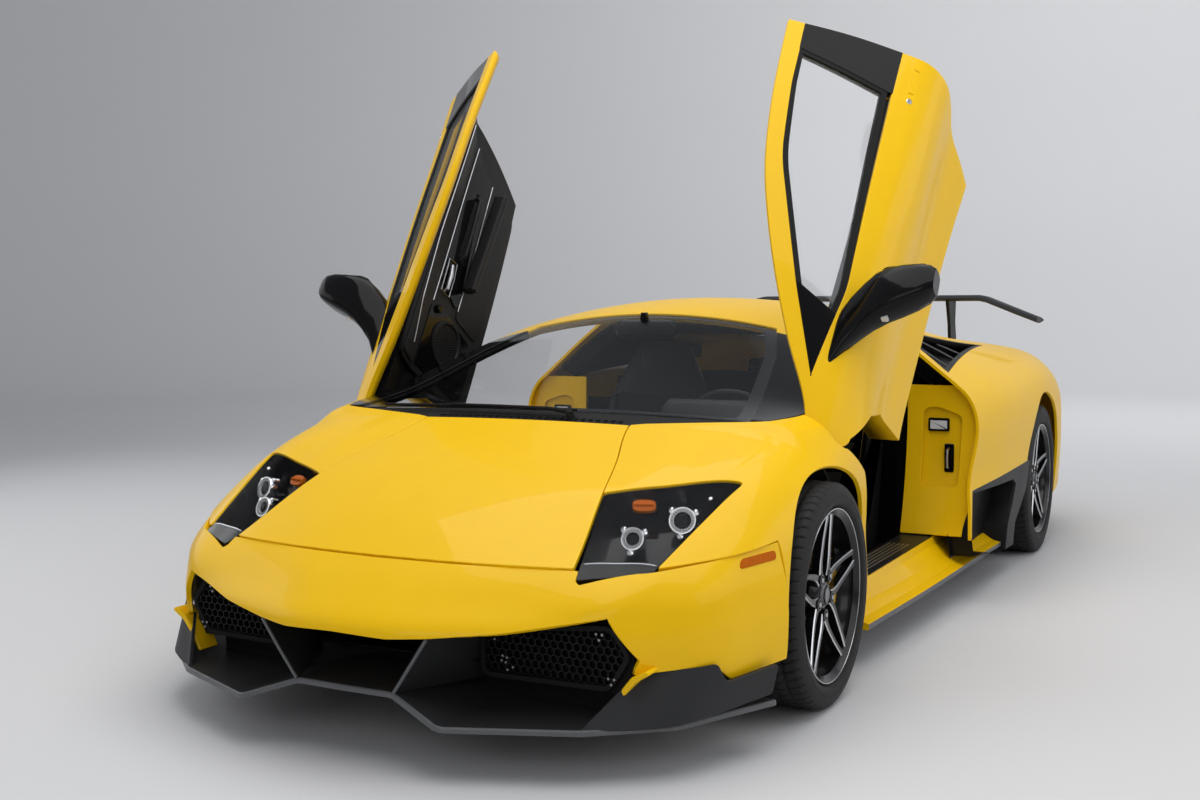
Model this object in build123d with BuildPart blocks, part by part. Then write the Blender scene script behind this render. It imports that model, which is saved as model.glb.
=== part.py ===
"""Two-seat mid-engined supercar with scissor doors, drawn in millimetres.

Frame: +Z up, nose towards -Y, the car's left towards +X, ground at Z = 0, origin halfway along
the car. The doors are drawn shut and written out open, as the car stands.
"""

import os
from math import cos, hypot, radians, sin, sqrt, tan

from build123d import *

# ------------------------------------------------------------------ driving dimensions
TAIL_Y = 2352
BAR_REACH = 47  # of the rear bumper bar behind the tail panel
TAIL_FACE_Y = TAIL_Y - BAR_REACH
SHUT_GAP = 5  # shut line between a moving panel and its neighbour
JOINT_GAP = 0.4  # joint between two fixed panels
SEAT_GAP = 0.3  # what rests on or in its neighbour without touching
SKIN = 14  # outer panels with their inner flange
GLASS = 6

# Wheels and axles
FRONT_AXLE_Y = -1335
REAR_AXLE_Y = 1330
FRONT_TRACK = 1635
REAR_TRACK = 1695
FRONT_TYRE_RADIUS = 314.3
REAR_TYRE_RADIUS = 329.1
FRONT_TYRE_WIDTH = 245
REAR_TYRE_WIDTH = 335
FLANGE_RADIUS = 243.5
RIM_SETBACK = 9  # rim flange behind the tyre's sidewall
FRONT_ARCH_RADIUS = 356
REAR_ARCH_RADIUS = 385
LINER = 8
SPOKE_COUNT = 5
DISC_RADIUS = 190
DISC_WALL = 34
CALIPER_REACH = 198
SPINDLE_RADIUS = 30

# Underbody
FLOOR_LOW = 118
FLOOR_WALL = 30
STEER_ROOM = 207  # inboard of the front tyres, for their steering
TYRE_ROOM = 40  # inboard of the rear tyres
FRONT_BAY_HALF = (FRONT_TRACK - FRONT_TYRE_WIDTH) / 2 - STEER_ROOM
REAR_BAY_HALF = (REAR_TRACK - REAR_TYRE_WIDTH) / 2 - TYRE_ROOM
CABIN_HALF = 790
FIREWALL_Y = -1120
BULKHEAD_Y = 420
WALL = 28
REAR_BAY_END_Y = 1985

# Doors
HINGE_Y = -1140
HINGE_Z = 750
DOOR_OPEN = 57
DOOR_FOOT = 45  # rounded foot about the hinge line
FOOT_SWING = 60  # room in the wing for the foot
DOOR_REACH = 1351  # from the hinge line to the rear edge
DOOR_REAR_Y = HINGE_Y + DOOR_REACH
DOOR_INNER = 770  # inner wall, and at the foot beside the pillar that it swings past
DOOR_FOOT_INNER = 810
PIN_RADIUS = 12
PIN_SPAN = (785, 860)
DOOR_LOW = 243
DOOR_DEPTH = 100  # lower door with its inner panel
FRAME_DEPTH = 42  # window frame

# Lids
BONNET_REAR_Y = -1434
BONNET_HINGE_Z = 770
LID_FRONT_Y = 560
LID_HINGE_Z = 1085
LID_PIN = 8
HINGE_SPANS = ((-120, -60), (60, 120))  # x of the lids' hinge barrels
LID_REAR_Y = 1850
LID_WALL = 16

# Half sections of the body from nose to tail.
# Columns: y, crown z, then x and z of edge, crest, shoulder, waist, crease and sill.
EDGE, CREST, SHOULDER, WAIST, CREASE, SILL = range(6)
BODY_SECTIONS = (
    (-2165, 481, (548, 447), (600, 438), (672, 420), (730, 380), (760, 300), (770, 215)),
    (-2030, 555, (522, 515), (620, 500), (710, 481), (790, 420), (835, 320), (840, 225)),
    (-1811, 650, (468, 635), (620, 618), (762, 590), (885, 505), (915, 380), (910, 220)),
    (-1648, 706, (425, 694), (620, 690), (800, 668), (905, 565), (936, 400), (930, 220)),
    (-1430, 775, (353, 772), (600, 765), (822, 728), (930, 625), (955, 450), (940, 230)),
    (-1400, 789, (500, 780), (650, 771), (827, 733), (933, 631), (957, 454), (940, 231)),
    (-1335, 813, (740, 789), (790, 775), (840, 745), (938, 640), (960, 460), (940, 232)),
    (-1150, 878, (800, 800), (826, 789), (862, 765), (932, 660), (940, 480), (915, 238)),
    (-900, 967, (715, 885), (845, 802), (895, 745), (918, 640), (892, 440), (900, 240)),
    (-600, 1073, (628, 985), (862, 806), (912, 745), (932, 640), (905, 430), (915, 240)),
    (-340, 1118, (578, 1045), (875, 809), (925, 748), (950, 640), (916, 430), (932, 240)),
    (-60, 1138, (562, 1072), (880, 812), (938, 752), (970, 650), (932, 440), (957, 240)),
    (220, 1131, (556, 1074), (890, 816), (950, 760), (985, 660), (958, 450), (985, 240)),
    (600, 1085, (560, 1030), (860, 860), (975, 780), (1015, 680), (1000, 500), (985, 200)),
    (980, 1035, (575, 985), (840, 880), (985, 790), (1027, 690), (1020, 500), (1000, 200)),
    (1330, 990, (590, 950), (830, 885), (985, 800), (1029, 700), (1028, 520), (1005, 200)),
    (1700, 950, (600, 925), (820, 880), (960, 805), (1015, 700), (1020, 520), (1000, 220)),
    (2050, 920, (600, 905), (800, 870), (900, 800), (960, 700), (975, 520), (965, 240)),
    (2200, 905, (595, 892), (780, 850), (865, 785), (915, 700), (935, 520), (925, 250)),
    (2330, 893, (590, 880), (755, 835), (830, 770), (870, 690), (890, 520), (885, 255)),
)

# Plan sections of the nose. Columns: z, then x and y of kink, cheek, corner, flank and arch end,
# after the y on the centre line.
NOSE_SECTIONS = (
    (150, -2300, (150, -2292), (420, -2215), (640, -2075), (835, -1935), (925, -1706)),
    (250, -2338, (155, -2328), (425, -2250), (672, -2140), (848, -1960), (943, -1706)),
    (345, -2347, (153, -2338), (422, -2258), (670, -2150), (848, -1965), (948, -1706)),
    (400, -2285, (150, -2278), (420, -2205), (657, -2147), (842, -1965), (946, -1706)),
    (490, -2150, (238, -2135), (537, -2075), (705, -2032), (858, -1880), (928, -1706)),
    (545, -2050, (238, -2035), (525, -1980), (690, -1940), (830, -1800), (915, -1706)),
)

# Side-view line between the bumper and the bonnet and wings: y and z
BUMPER_SPLIT = ((-2400, 486), (-2160, 486), (-2035, 484), (-1690, 521))
# Plan outline of a headlamp: x and y
LAMP_OUTLINE = ((552, -2118), (468, -1811), (792, -1648), (707, -2030))
# Plan line of the windscreen's side edge: x and y
SCREEN_EDGE = ((0, -1362), (690, -1346), (560, -800), (470, -555))
SCREEN_TOP_Y = -555
# Side window in plan: x and y
WINDOW_OUTLINE = ((790, -1010), (715, -740), (618, -330), (602, -60), (600, 80), (850, 40), (842, -700))
# Triangular intake behind the door, in plan: x and y
INTAKE_FRONT_Y = DOOR_REAR_Y + 51
INTAKE_OUTLINE = ((600, INTAKE_FRONT_Y), (850, INTAKE_FRONT_Y), (712, 1500))


# ------------------------------------------------------------------ section helpers
def half_section(y):
    """Crown height and the six (x, z) corners of the body at a station, from the table."""
    rows = BODY_SECTIONS
    low = max(i for i in range(len(rows) - 1) if rows[i][0] <= max(y, rows[0][0]))
    first, second = rows[low], rows[low + 1]
    share = (y - first[0]) / (second[0] - first[0])
    crown = first[1] + share * (second[1] - first[1])
    corners = [
        (a[0] + share * (b[0] - a[0]), a[1] + share * (b[1] - a[1]))
        for a, b in zip(first[2:], second[2:])
    ]
    return crown, corners


def stations(start, end):
    """The two ends and every table station between them."""
    inner = [row[0] for row in BODY_SECTIONS if start + 20 < row[0] < end - 20]
    return [start, *inner, end]


def inset(points, depth):
    """An open line of (x, z) corners moved inboard and down by a depth, square to its runs."""
    normals = []
    for (x0, z0), (x1, z1) in zip(points, points[1:]):
        run = hypot(x1 - x0, z1 - z0)
        normals.append(((z1 - z0) / run, (x0 - x1) / run))
    moved = []
    for i, (x, z) in enumerate(points):
        before = normals[max(i - 1, 0)]
        after = normals[min(i, len(normals) - 1)]
        nx, nz = before[0] + after[0], before[1] + after[1]
        size = nx * nx + nz * nz
        moved.append((x + 2 * depth * nx / size, z + 2 * depth * nz / size))
    return moved


def section_face(y, outline):
    """A face across the car at a station, from a closed (x, z) outline."""
    with BuildSketch(Plane.XZ.offset(-y)) as face:
        with BuildLine():
            Polyline(*outline, close=True)
        make_face()
    return face.sketch


def strip(start, end, first, last, wall, lift=0):
    """A side panel of the left side, between two columns of the section table."""
    faces = []
    for y in stations(start, end):
        outer = half_section(y)[1][first : last + 1]
        raised = inset(outer, -lift) if lift else outer
        faces.append(section_face(y, raised + inset(outer, wall)[::-1]))
    loft(faces, ruled=True)


def crown_face(y, low, high, trim=0):
    """A face under the crown arc between two depths, from edge column to edge column."""
    top, corners = half_section(y)
    x, z = corners[EDGE]
    share = (x - trim) / x
    z = top - (top - z) * share * share
    x = x - trim
    with BuildSketch(Plane.XZ.offset(-y)) as face:
        with BuildLine():
            ThreePointArc((-x, z - high), (0, top - high), (x, z - high))
            Line((x, z - high), (x, z - low))
            ThreePointArc((x, z - low), (0, top - low), (-x, z - low))
            Line((-x, z - low), (-x, z - high))
        make_face()
    return face.sketch


def crown(start, end, low, high, trim=0, mode=Mode.ADD):
    """A centre panel under the crown, from one depth to another."""
    loft([crown_face(y, low, high, trim) for y in stations(start, end)], ruled=True, mode=mode)


def prism(plane, outline, low, high, mode=Mode.SUBTRACT):
    """A straight-sided block on a closed outline, between two levels of a plane."""
    with BuildSketch(plane.offset(low)) as face:
        with BuildLine():
            Polyline(*outline, close=True)
        make_face()
    extrude(face.sketch, amount=high - low, mode=mode)


def block(x, y, z, mode=Mode.ADD):
    """A box from its low and high x, y and z."""
    with Locations(((x[0] + x[1]) / 2, (y[0] + y[1]) / 2, (z[0] + z[1]) / 2)):
        Box(x[1] - x[0], y[1] - y[0], z[1] - z[0], mode=mode)


def barrel(y, z, radius, x0, x1, mode=Mode.ADD):
    """A cylinder across the car."""
    with Locations(Location(((x0 + x1) / 2, y, z), (0, 90, 0))):
        Cylinder(radius, abs(x1 - x0), mode=mode)


def grown(outline, amount):
    """A closed outline moved outwards by an amount, whichever way round it runs."""
    area = sum(a[0] * b[1] - b[0] * a[1] for a, b in zip(outline, outline[1:] + outline[:1]))
    turn = 1 if area > 0 else -1
    moved = []
    for i, corner in enumerate(outline):
        before, after = outline[i - 1], outline[(i + 1) % len(outline)]
        n0 = side_normal(before, corner, turn)
        n1 = side_normal(corner, after, turn)
        nx, ny = n0[0] + n1[0], n0[1] + n1[1]
        size = nx * nx + ny * ny
        moved.append((corner[0] + 2 * amount * nx / size, corner[1] + 2 * amount * ny / size))
    return tuple(moved)


def side_normal(start, end, turn):
    """The outward unit normal of one side of an outline."""
    run = hypot(end[0] - start[0], end[1] - start[1])
    return turn * (end[1] - start[1]) / run, turn * (start[0] - end[0]) / run


def split_outline(gap, upper):
    """Side-view area above or below the bumper's split line, held back by half a gap."""
    shift = -gap / 2 if upper else gap / 2
    line = [(y, z + shift) for y, z in BUMPER_SPLIT]
    far = 1500 if upper else -100
    return tuple(line + [(BUMPER_SPLIT[-1][0], far), (BUMPER_SPLIT[0][0], far)])


def edge_line(start, end, shift):
    """Plan line of the edge column, moved outboard by a shift."""
    return [(half_section(y)[1][EDGE][0] + shift, y) for y in stations(start, end)]


def door_outline(gap):
    """Side-view area of the door in (y, z), grown by a gap all round; a builder sketch."""
    reach = DOOR_REACH + gap
    foot = DOOR_FOOT + gap
    low, high = DOOR_LOW - gap, 1400
    rear_low = HINGE_Y + sqrt(reach**2 - (low - HINGE_Z) ** 2)
    rear_high = HINGE_Y + sqrt(reach**2 - (high - HINGE_Z) ** 2)
    front = [(-1020, 622), (-938, 480), (-905, DOOR_LOW)]
    front = [(y - gap, z) for y, z in front]
    with BuildSketch(Plane.YZ) as area:
        with BuildLine():
            ThreePointArc((rear_low, low), (HINGE_Y + reach, HINGE_Z), (rear_high, high))
            Line((rear_high, high), (HINGE_Y, high))
            Line((HINGE_Y, high), (HINGE_Y, HINGE_Z + foot))
            ThreePointArc(
                (HINGE_Y, HINGE_Z + foot), (HINGE_Y - foot, HINGE_Z), (HINGE_Y, HINGE_Z - foot)
            )
            Polyline((HINGE_Y, HINGE_Z - foot), front[0], front[1], (front[2][0], low))
            Line((front[2][0], low), (rear_low, low))
        make_face()
    return area.sketch


def write(piece, name):
    """Label a finished piece and write it as its own STEP file."""
    piece.label = name
    export_step(piece, f"parts/{name}.step")


def biggest(part):
    """The piece without the offcuts that its trimming leaves."""
    return part.solids().sort_by(SortBy.VOLUME)[-1]


def pair(left):
    """A left piece with its mirror image."""
    return Compound(children=[left, mirror(left, about=Plane.YZ)])


os.makedirs("parts", exist_ok=True)

# ------------------------------------------------------------------ front wings and bonnet
with BuildPart() as wing:
    strip(-2110, -890, EDGE, SILL, SKIN)
    prism(Plane.XY, grown(LAMP_OUTLINE, JOINT_GAP), 0, 1000)
    prism(Plane.YZ, split_outline(JOINT_GAP, False), 0, 1200)
    extrude(door_outline(SHUT_GAP), amount=1200, mode=Mode.SUBTRACT)
    barrel(FRONT_AXLE_Y, FRONT_TYRE_RADIUS, FRONT_ARCH_RADIUS, 500, 1200, Mode.SUBTRACT)
    # room ahead of the door's foot for its swing
    barrel(HINGE_Y, HINGE_Z, FOOT_SWING, 500, 1200, Mode.SUBTRACT)
    block((500, 1200), (HINGE_Y - FOOT_SWING, HINGE_Y), (HINGE_Z, 1000), Mode.SUBTRACT)
    # the bonnet, cowl and pillar keep the area inboard of the edge line
    prism(Plane.XY, [(0, -2160), *edge_line(-2160, -1150, 0), (0, -1150)], 0, 1000)
write(pair(biggest(wing.part)), "wings")

with BuildPart() as bonnet:
    crown(-2165, BONNET_REAR_Y, 0, LID_WALL)
    line = edge_line(-2160, BONNET_REAR_Y + 1, -SHUT_GAP)
    prism(Plane.XY, [*line, *[(-x, y) for x, y in line[::-1]]], 0, 1000, Mode.INTERSECT)
    prism(Plane.YZ, split_outline(SHUT_GAP, False), -600, 600)
    for x in HINGE_SPANS:
        barrel(BONNET_REAR_Y, BONNET_HINGE_Z, LID_PIN, *x)
write(biggest(bonnet.part), "bonnet")

# ------------------------------------------------------------------ bumper and splitter
NOSE_WALL = 16


def nose_face(row, depth):
    """A level section of the nose, moved inboard by a depth and open to the rear."""
    z, centre_y, *half = row
    line = [(0, centre_y), *half]
    half_line = [(x, y) for x, y in inset_plan(line, depth)]
    rear = half[-1][1] + (1 if depth == 0 else 60)
    tail = [(half_line[-1][0], rear)]
    right = [(-x, y) for x, y in half_line[1:]]
    with BuildSketch(Plane.XY.offset(z)) as face:
        with BuildLine():
            Polyline(
                *tail, *half_line[::-1], *right, (-tail[0][0], rear), close=True
            )
        make_face()
    return face.sketch


def inset_plan(line, depth):
    """A plan line from the centre outwards, moved into the body by a depth."""
    mirrored_line = [(-line[1][0], line[1][1]), *line]
    moved = inset([(x, y) for x, y in mirrored_line], -depth)
    return [(0, moved[1][1]), *moved[2:]]


BLADE_TOP = ((-2110, 255), (-1960, 262), (-1900, 215), (-1690, 225))  # y and z below each flank
# Front view of the mouth: x and z
MOUTH = ((0, 336), (153, 330), (255, 336), (420, 354), (652, 392), (716, 288), (655, 120), (0, 120))
with BuildPart() as bumper:
    loft([nose_face(row, 0) for row in NOSE_SECTIONS], ruled=True)
    loft([nose_face(row, NOSE_WALL) for row in NOSE_SECTIONS], ruled=True, mode=Mode.SUBTRACT)
    prism(Plane.YZ, split_outline(JOINT_GAP, True), -1200, 1200)
    for side in (1, -1):
        mouth = [(side * x, z) for x, z in MOUTH]
        prism(Plane.XZ, mouth, 1900, 2500)
        lamp = [(side * x, y) for x, y in grown(LAMP_OUTLINE, JOINT_GAP)]
        prism(Plane.XY, lamp, 455, 1000)
        barrel(FRONT_AXLE_Y, FRONT_TYRE_RADIUS, FRONT_ARCH_RADIUS, side * 500, side * 1200, Mode.SUBTRACT)
    # the splitter's side blades take the foot of each flank
    for side in (1, -1):
        foot = [(-2110, 100), *BLADE_TOP, (-1690, 100)]
        prism(Plane.YZ, foot, *sorted((side * 700, side * 1100)))
write(biggest(bumper.part), "front_bumper")

# Front view of half the splitter's lip: x and z of its top
LIP = ((0, 190), (147, 190), (301, 137), (930, 137))
LIP_WALL = 16
BLADE_PLAN = ((722, -2115), (848, -1968), (935, -1760), (905, -1760), (820, -1940), (700, -2080))
# Plan of half the splitter's front edge: x and y
LIP_EDGE = ((0, -2296), (150, -2294), (301, -2330), (615, -2205), (800, -2065), (925, -1795))
LIP_REAR_Y = -1960
FIN = ((150, 192), (164, 192), (262, 330), (248, 330))
MOUTH_REAR_Y = -2030
FIN_FRONT_Y = -2296
with BuildPart() as splitter:
    low = [(x, z - LIP_WALL) for x, z in LIP]
    full = [*[(-x, z) for x, z in LIP[:0:-1]], *LIP, *low[::-1], *[(-x, z) for x, z in low[1:]]]
    prism(Plane.XZ, full, 1750, 2400, Mode.ADD)
    edge = [*LIP_EDGE, (925, -1760), (700, -1760), (640, LIP_REAR_Y), (0, LIP_REAR_Y)]
    plan = [*edge[1:-1], *[(-x, y) for x, y in edge[-2:0:-1]]]
    prism(Plane.XY, plan, 0, 600, Mode.INTERSECT)
    # rear wall of the mouth and the two fins in it
    block((-640, 640), (MOUTH_REAR_Y, MOUTH_REAR_Y + 16), (120, 330))
    for side in (1, -1):
        prism(Plane.XZ, [(side * x, z) for x, z in FIN], -MOUTH_REAR_Y, -FIN_FRONT_Y, Mode.ADD)
        # side blade under the flank
        blade = [(-2095, 122), *[(y, z - JOINT_GAP) for y, z in BLADE_TOP], (-1765, 122)]
        sides = sorted((side * 690, side * 1000))
        with BuildPart(mode=Mode.PRIVATE) as blade_part:
            prism(Plane.YZ, blade, *sides, Mode.ADD)
            prism(Plane.XY, [(side * x, y) for x, y in BLADE_PLAN], 0, 600, Mode.INTERSECT)
        add(blade_part.part)
write(biggest(splitter.part), "front_splitter")

# ------------------------------------------------------------------ lamps
LAMP_COVER = 5
LAMP_DEPTH = 90
PROJECTORS = ((640, -1985, 36), (690, -1885, 38))  # x, y and radius
with BuildPart() as lamp_cover:
    strip(-2150, -1600, EDGE, WAIST, LAMP_COVER)
    prism(Plane.XY, grown(LAMP_OUTLINE, -JOINT_GAP), 0, 1000, Mode.INTERSECT)
write(pair(biggest(lamp_cover.part)), "headlamp_covers")
with BuildPart() as lamp:
    with BuildPart(mode=Mode.PRIVATE) as lamp_body:
        strip(-2150, -1600, EDGE, WAIST, LAMP_DEPTH)
    add(lamp_body.part)
    with BuildPart(mode=Mode.PRIVATE) as lamp_void:
        strip(-2160, -1590, EDGE, WAIST, 60, lift=20)
    add(lamp_void.part, mode=Mode.SUBTRACT)
    prism(Plane.XY, grown(LAMP_OUTLINE, -JOINT_GAP - SEAT_GAP), 300, 1000, Mode.INTERSECT)
    for x, y, radius in PROJECTORS:
        crest_z = half_section(y)[1][CREST][1]
        with Locations(Location((x, y, crest_z - 75), (35, 0, 0))):
            Cylinder(radius, 70)
write(pair(biggest(lamp.part)), "headlamps")

# ------------------------------------------------------------------ roof, pillars and screens
PILLAR = 40
RAIL_GAP = 10  # beside the doors' cant rails, which swing forward as they rise


def rail_area(gap):
    """Plan area inboard of the doors' cant rails."""
    line = edge_line(-1340, HINGE_Y - 60, -JOINT_GAP)
    line += edge_line(HINGE_Y - 55, HINGE_Y + 25, -2 * gap)
    line += edge_line(HINGE_Y + 35, DOOR_REAR_Y + SHUT_GAP, -gap)
    line += edge_line(DOOR_REAR_Y + 2 * SHUT_GAP, LID_FRONT_Y, -JOINT_GAP)
    return [*line, *[(-x, y) for x, y in line[::-1]]]


screen = [*SCREEN_EDGE, *[(-x, y) for x, y in SCREEN_EDGE[:0:-1]]]
with BuildPart() as glazing:
    crown(-1380, SCREEN_TOP_Y, 0, GLASS)
    prism(Plane.XY, grown(screen, -JOINT_GAP), 0, 1500, Mode.INTERSECT)
windscreen = biggest(glazing.part)

with BuildPart() as roof:
    crown(-1340, LID_FRONT_Y - LID_PIN, 0, PILLAR)
    for x0, x1 in HINGE_SPANS:
        barrel(LID_FRONT_Y, LID_HINGE_Z, LID_PIN + SEAT_GAP, x0 - 1, x1 + 1, Mode.SUBTRACT)
    prism(Plane.XY, rail_area(RAIL_GAP), 0, 1500, Mode.INTERSECT)
    prism(Plane.XY, screen, 0, 1500)
write(biggest(roof.part), "roof")

# ------------------------------------------------------------------ doors
def door_section(y):
    """Closed outline of the shut door at a station."""
    corners = half_section(y)[1]
    skin = corners[EDGE:]
    rail, belt, low = skin[EDGE], skin[CREST], skin[SILL]
    # near the foot the inner wall stays outboard of the pillar that it swings past
    limit = DOOR_FOOT_INNER if y < -1100 else DOOR_INNER
    inner = [
        (low[0] - DOOR_DEPTH, low[1]),
        (max(skin[WAIST][0] - DOOR_DEPTH - 15, limit), skin[WAIST][1]),
        (max(belt[0] - DOOR_DEPTH + 25, limit), belt[1] - 42),
        (rail[0], rail[1] - FRAME_DEPTH),
    ]
    return [*skin, *inner]


with BuildPart() as door:
    spans = stations(HINGE_Y - DOOR_FOOT, HINGE_Y + DOOR_REACH)
    loft([section_face(y, door_section(y)) for y in spans], ruled=True)
    extrude(door_outline(0), amount=1300, mode=Mode.INTERSECT)
    prism(Plane.XY, WINDOW_OUTLINE, 760, 1300)
    block((700, DOOR_FOOT_INNER - SHUT_GAP), (-1300, -1150), (600, 900), Mode.SUBTRACT)
    barrel(HINGE_Y, HINGE_Z, PIN_RADIUS + SEAT_GAP, 700, PIN_SPAN[1] + 1, Mode.SUBTRACT)
door_shell = biggest(door.part)

with BuildPart() as door_pane:
    strip(-1100, 150, EDGE, CREST, GLASS)
    prism(Plane.XY, grown(WINDOW_OUTLINE, -SEAT_GAP), 700, 1300, Mode.INTERSECT)
door_glass = biggest(door_pane.part)

hinge_line = Axis((0, HINGE_Y, HINGE_Z), (1, 0, 0))
for side, name in ((1, "left"), (-1, "right")):
    for piece, kind in ((door_shell, "door_shell"), (door_glass, "door_glass")):
        shut = piece if side == 1 else mirror(piece, about=Plane.YZ)
        write(shut.rotate(hinge_line, DOOR_OPEN), f"{kind}_{name}")

# ------------------------------------------------------------------ door trim and mirrors
TRIM = 22
MIRROR_TIP_X = 1119
# Mirror head and arm in plan: x and y
MIRROR_HEAD = ((930, -712), (1092, -705), (MIRROR_TIP_X, -690), (1112, -640), (950, -612), (925, -640))
MIRROR_ARM = ((818, -905), (845, -865), (960, -705), (960, -640), (905, -700), (812, -880))
with BuildPart() as trim:
    spans = stations(-900, 40)
    faces = []
    for y in spans:
        skin = half_section(y)[1]
        low = (skin[SILL][0] - DOOR_DEPTH - SEAT_GAP, DOOR_LOW + 12)
        mid = (skin[WAIST][0] - DOOR_DEPTH - 15 - SEAT_GAP, skin[WAIST][1])
        top = (skin[CREST][0] - DOOR_DEPTH + 25 - SEAT_GAP, skin[CREST][1] - 45)
        outer = [low, mid, top]
        faces.append(section_face(y, [*outer, *[(x - TRIM, z) for x, z in outer[::-1]]]))
    loft(faces, ruled=True)
    # armrest
    block((740, 800), (-520, -60), (560, 600))
door_trim = biggest(trim.part)

with BuildPart() as mirror_piece:
    # head: plan outline with a rounded front, then the arm down to the sail of the door
    prism(Plane.XY, MIRROR_HEAD, 812, 916, Mode.ADD)
    fillet(mirror_piece.edges().group_by(Axis.Z)[-1], radius=14)
    prism(Plane.XY, MIRROR_ARM, 812, 836, Mode.ADD)
    with BuildPart(mode=Mode.PRIVATE) as door_top:
        faces = []
        for y in stations(-1100, -500):
            skin = half_section(y)[1][EDGE : SHOULDER + 1]
            faces.append(section_face(y, [*inset(skin, -SEAT_GAP), *inset(skin, 70)[::-1]]))
        loft(faces, ruled=True)
    add(door_top.part, mode=Mode.SUBTRACT)
mirror_left = biggest(mirror_piece.part)
for side, name in ((1, "left"), (-1, "right")):
    for piece, kind in ((door_trim, "door_trim"), (mirror_left, "mirror")):
        shut = piece if side == 1 else mirror(piece, about=Plane.YZ)
        write(shut.rotate(hinge_line, DOOR_OPEN), f"{kind}_{name}")

# ------------------------------------------------------------------ rear quarters
JAMB_WALL = 30
JAMB_Y = DOOR_REAR_Y + 34
QUARTER_START = DOOR_REAR_Y - 150
FASCIA_Y = 2050
# Side view of the scoop ahead of the rear wheel: y and z
SCOOP_FOOT_Y = DOOR_REAR_Y - 91
SCOOP_OUTLINE = (
    (SCOOP_FOOT_Y, 238), (DOOR_REAR_Y - 11, 412), (985, 447), (1010, 440), (985, 330), (760, 128),
    (SCOOP_FOOT_Y, 128),
)
SCOOP_INNER = 840
with BuildPart() as quarter:
    strip(QUARTER_START, FASCIA_Y - JOINT_GAP, EDGE, SILL, SKIN)
    barrel(REAR_AXLE_Y, REAR_TYRE_RADIUS, REAR_ARCH_RADIUS, 500, 1300, Mode.SUBTRACT)
    extrude(door_outline(SHUT_GAP), amount=1300, mode=Mode.SUBTRACT)
    prism(Plane.XY, grown(INTAKE_OUTLINE, JOINT_GAP), 700, 1300)
    with BuildPart(mode=Mode.PRIVATE) as jamb:
        skin = inset(half_section(JAMB_Y)[1][CREST:], 3)
        prism(Plane.XZ, [*skin, (700, 240), (700, skin[0][1])], -JAMB_Y, -JAMB_Y + JAMB_WALL, Mode.ADD)
    add(jamb.part)
    prism(Plane.YZ, grown(SCOOP_OUTLINE, JOINT_GAP), SCOOP_INNER - JOINT_GAP, 1300)
    # the roof and the lid keep the area inboard of the edge line
    prism(Plane.XY, [(0, 0), *edge_line(0, 2100, 0), (0, 2100)], 700, 1300)
write(pair(biggest(quarter.part)), "quarters")

INTAKE_DEPTH = 90
with BuildPart() as intake:
    strip(DOOR_REAR_Y - 11, 1560, EDGE, CREST, INTAKE_DEPTH)
    prism(Plane.XY, grown(INTAKE_OUTLINE, -JOINT_GAP), 500, 1300, Mode.INTERSECT)
    with BuildPart(mode=Mode.PRIVATE) as intake_void:
        strip(DOOR_REAR_Y - 21, 1570, EDGE, CREST, INTAKE_DEPTH - 12, lift=20)
        prism(Plane.XY, grown(INTAKE_OUTLINE, -JOINT_GAP - 12), 500, 1300, Mode.INTERSECT)
    add(intake_void.part, mode=Mode.SUBTRACT)
upper_intake = biggest(intake.part)

with BuildPart() as scoop:
    strip(SCOOP_FOOT_Y - 10, 1030, WAIST, SILL, 120)
    prism(Plane.YZ, grown(SCOOP_OUTLINE, -JOINT_GAP), 500, 1300, Mode.INTERSECT)
    mouth = ((DOOR_REAR_Y + 89, 205), (DOOR_REAR_Y + 119, 395), (900, 420), (900, 330), (720, 205))
    prism(Plane.YZ, mouth, 935, 1300)
    barrel(REAR_AXLE_Y, REAR_TYRE_RADIUS, REAR_ARCH_RADIUS + LINER + SEAT_GAP, 500, 1300, Mode.SUBTRACT)
lower_scoop = biggest(scoop.part)
inlets = [upper_intake, lower_scoop]
inlets += [mirror(piece, about=Plane.YZ) for piece in inlets]
write(Compound(children=inlets), "side_intakes")

# Sill sections: y, then the outer lip x, its low z, and the top's outer x
SILL_SECTIONS = ((-905, 899, 905), (-300, 903, 925), (110, 910, 950), (440, 918, 962), (740, 946, 968))
SILL_LOW = 130
SILL_TOP = DOOR_LOW - SHUT_GAP - 3
SILL_INNER = CABIN_HALF + JOINT_GAP
with BuildPart() as sill:
    faces = []
    for y, lip, outer in SILL_SECTIONS:
        outline = (
            (SILL_INNER, SILL_LOW - 8), (lip, SILL_LOW - 12), (lip + 4, SILL_LOW + 6),
            (outer - 22, SILL_TOP - 30), (outer - 30, SILL_TOP), (SILL_INNER, SILL_TOP),
        )
        faces.append(section_face(y, outline))
    loft(faces, ruled=True)
    prism(Plane.YZ, grown(SCOOP_OUTLINE, JOINT_GAP), 500, 1300)
    barrel(FRONT_AXLE_Y, FRONT_TYRE_RADIUS, FRONT_ARCH_RADIUS, 500, 1300, Mode.SUBTRACT)
write(pair(biggest(sill.part)), "sills")

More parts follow.
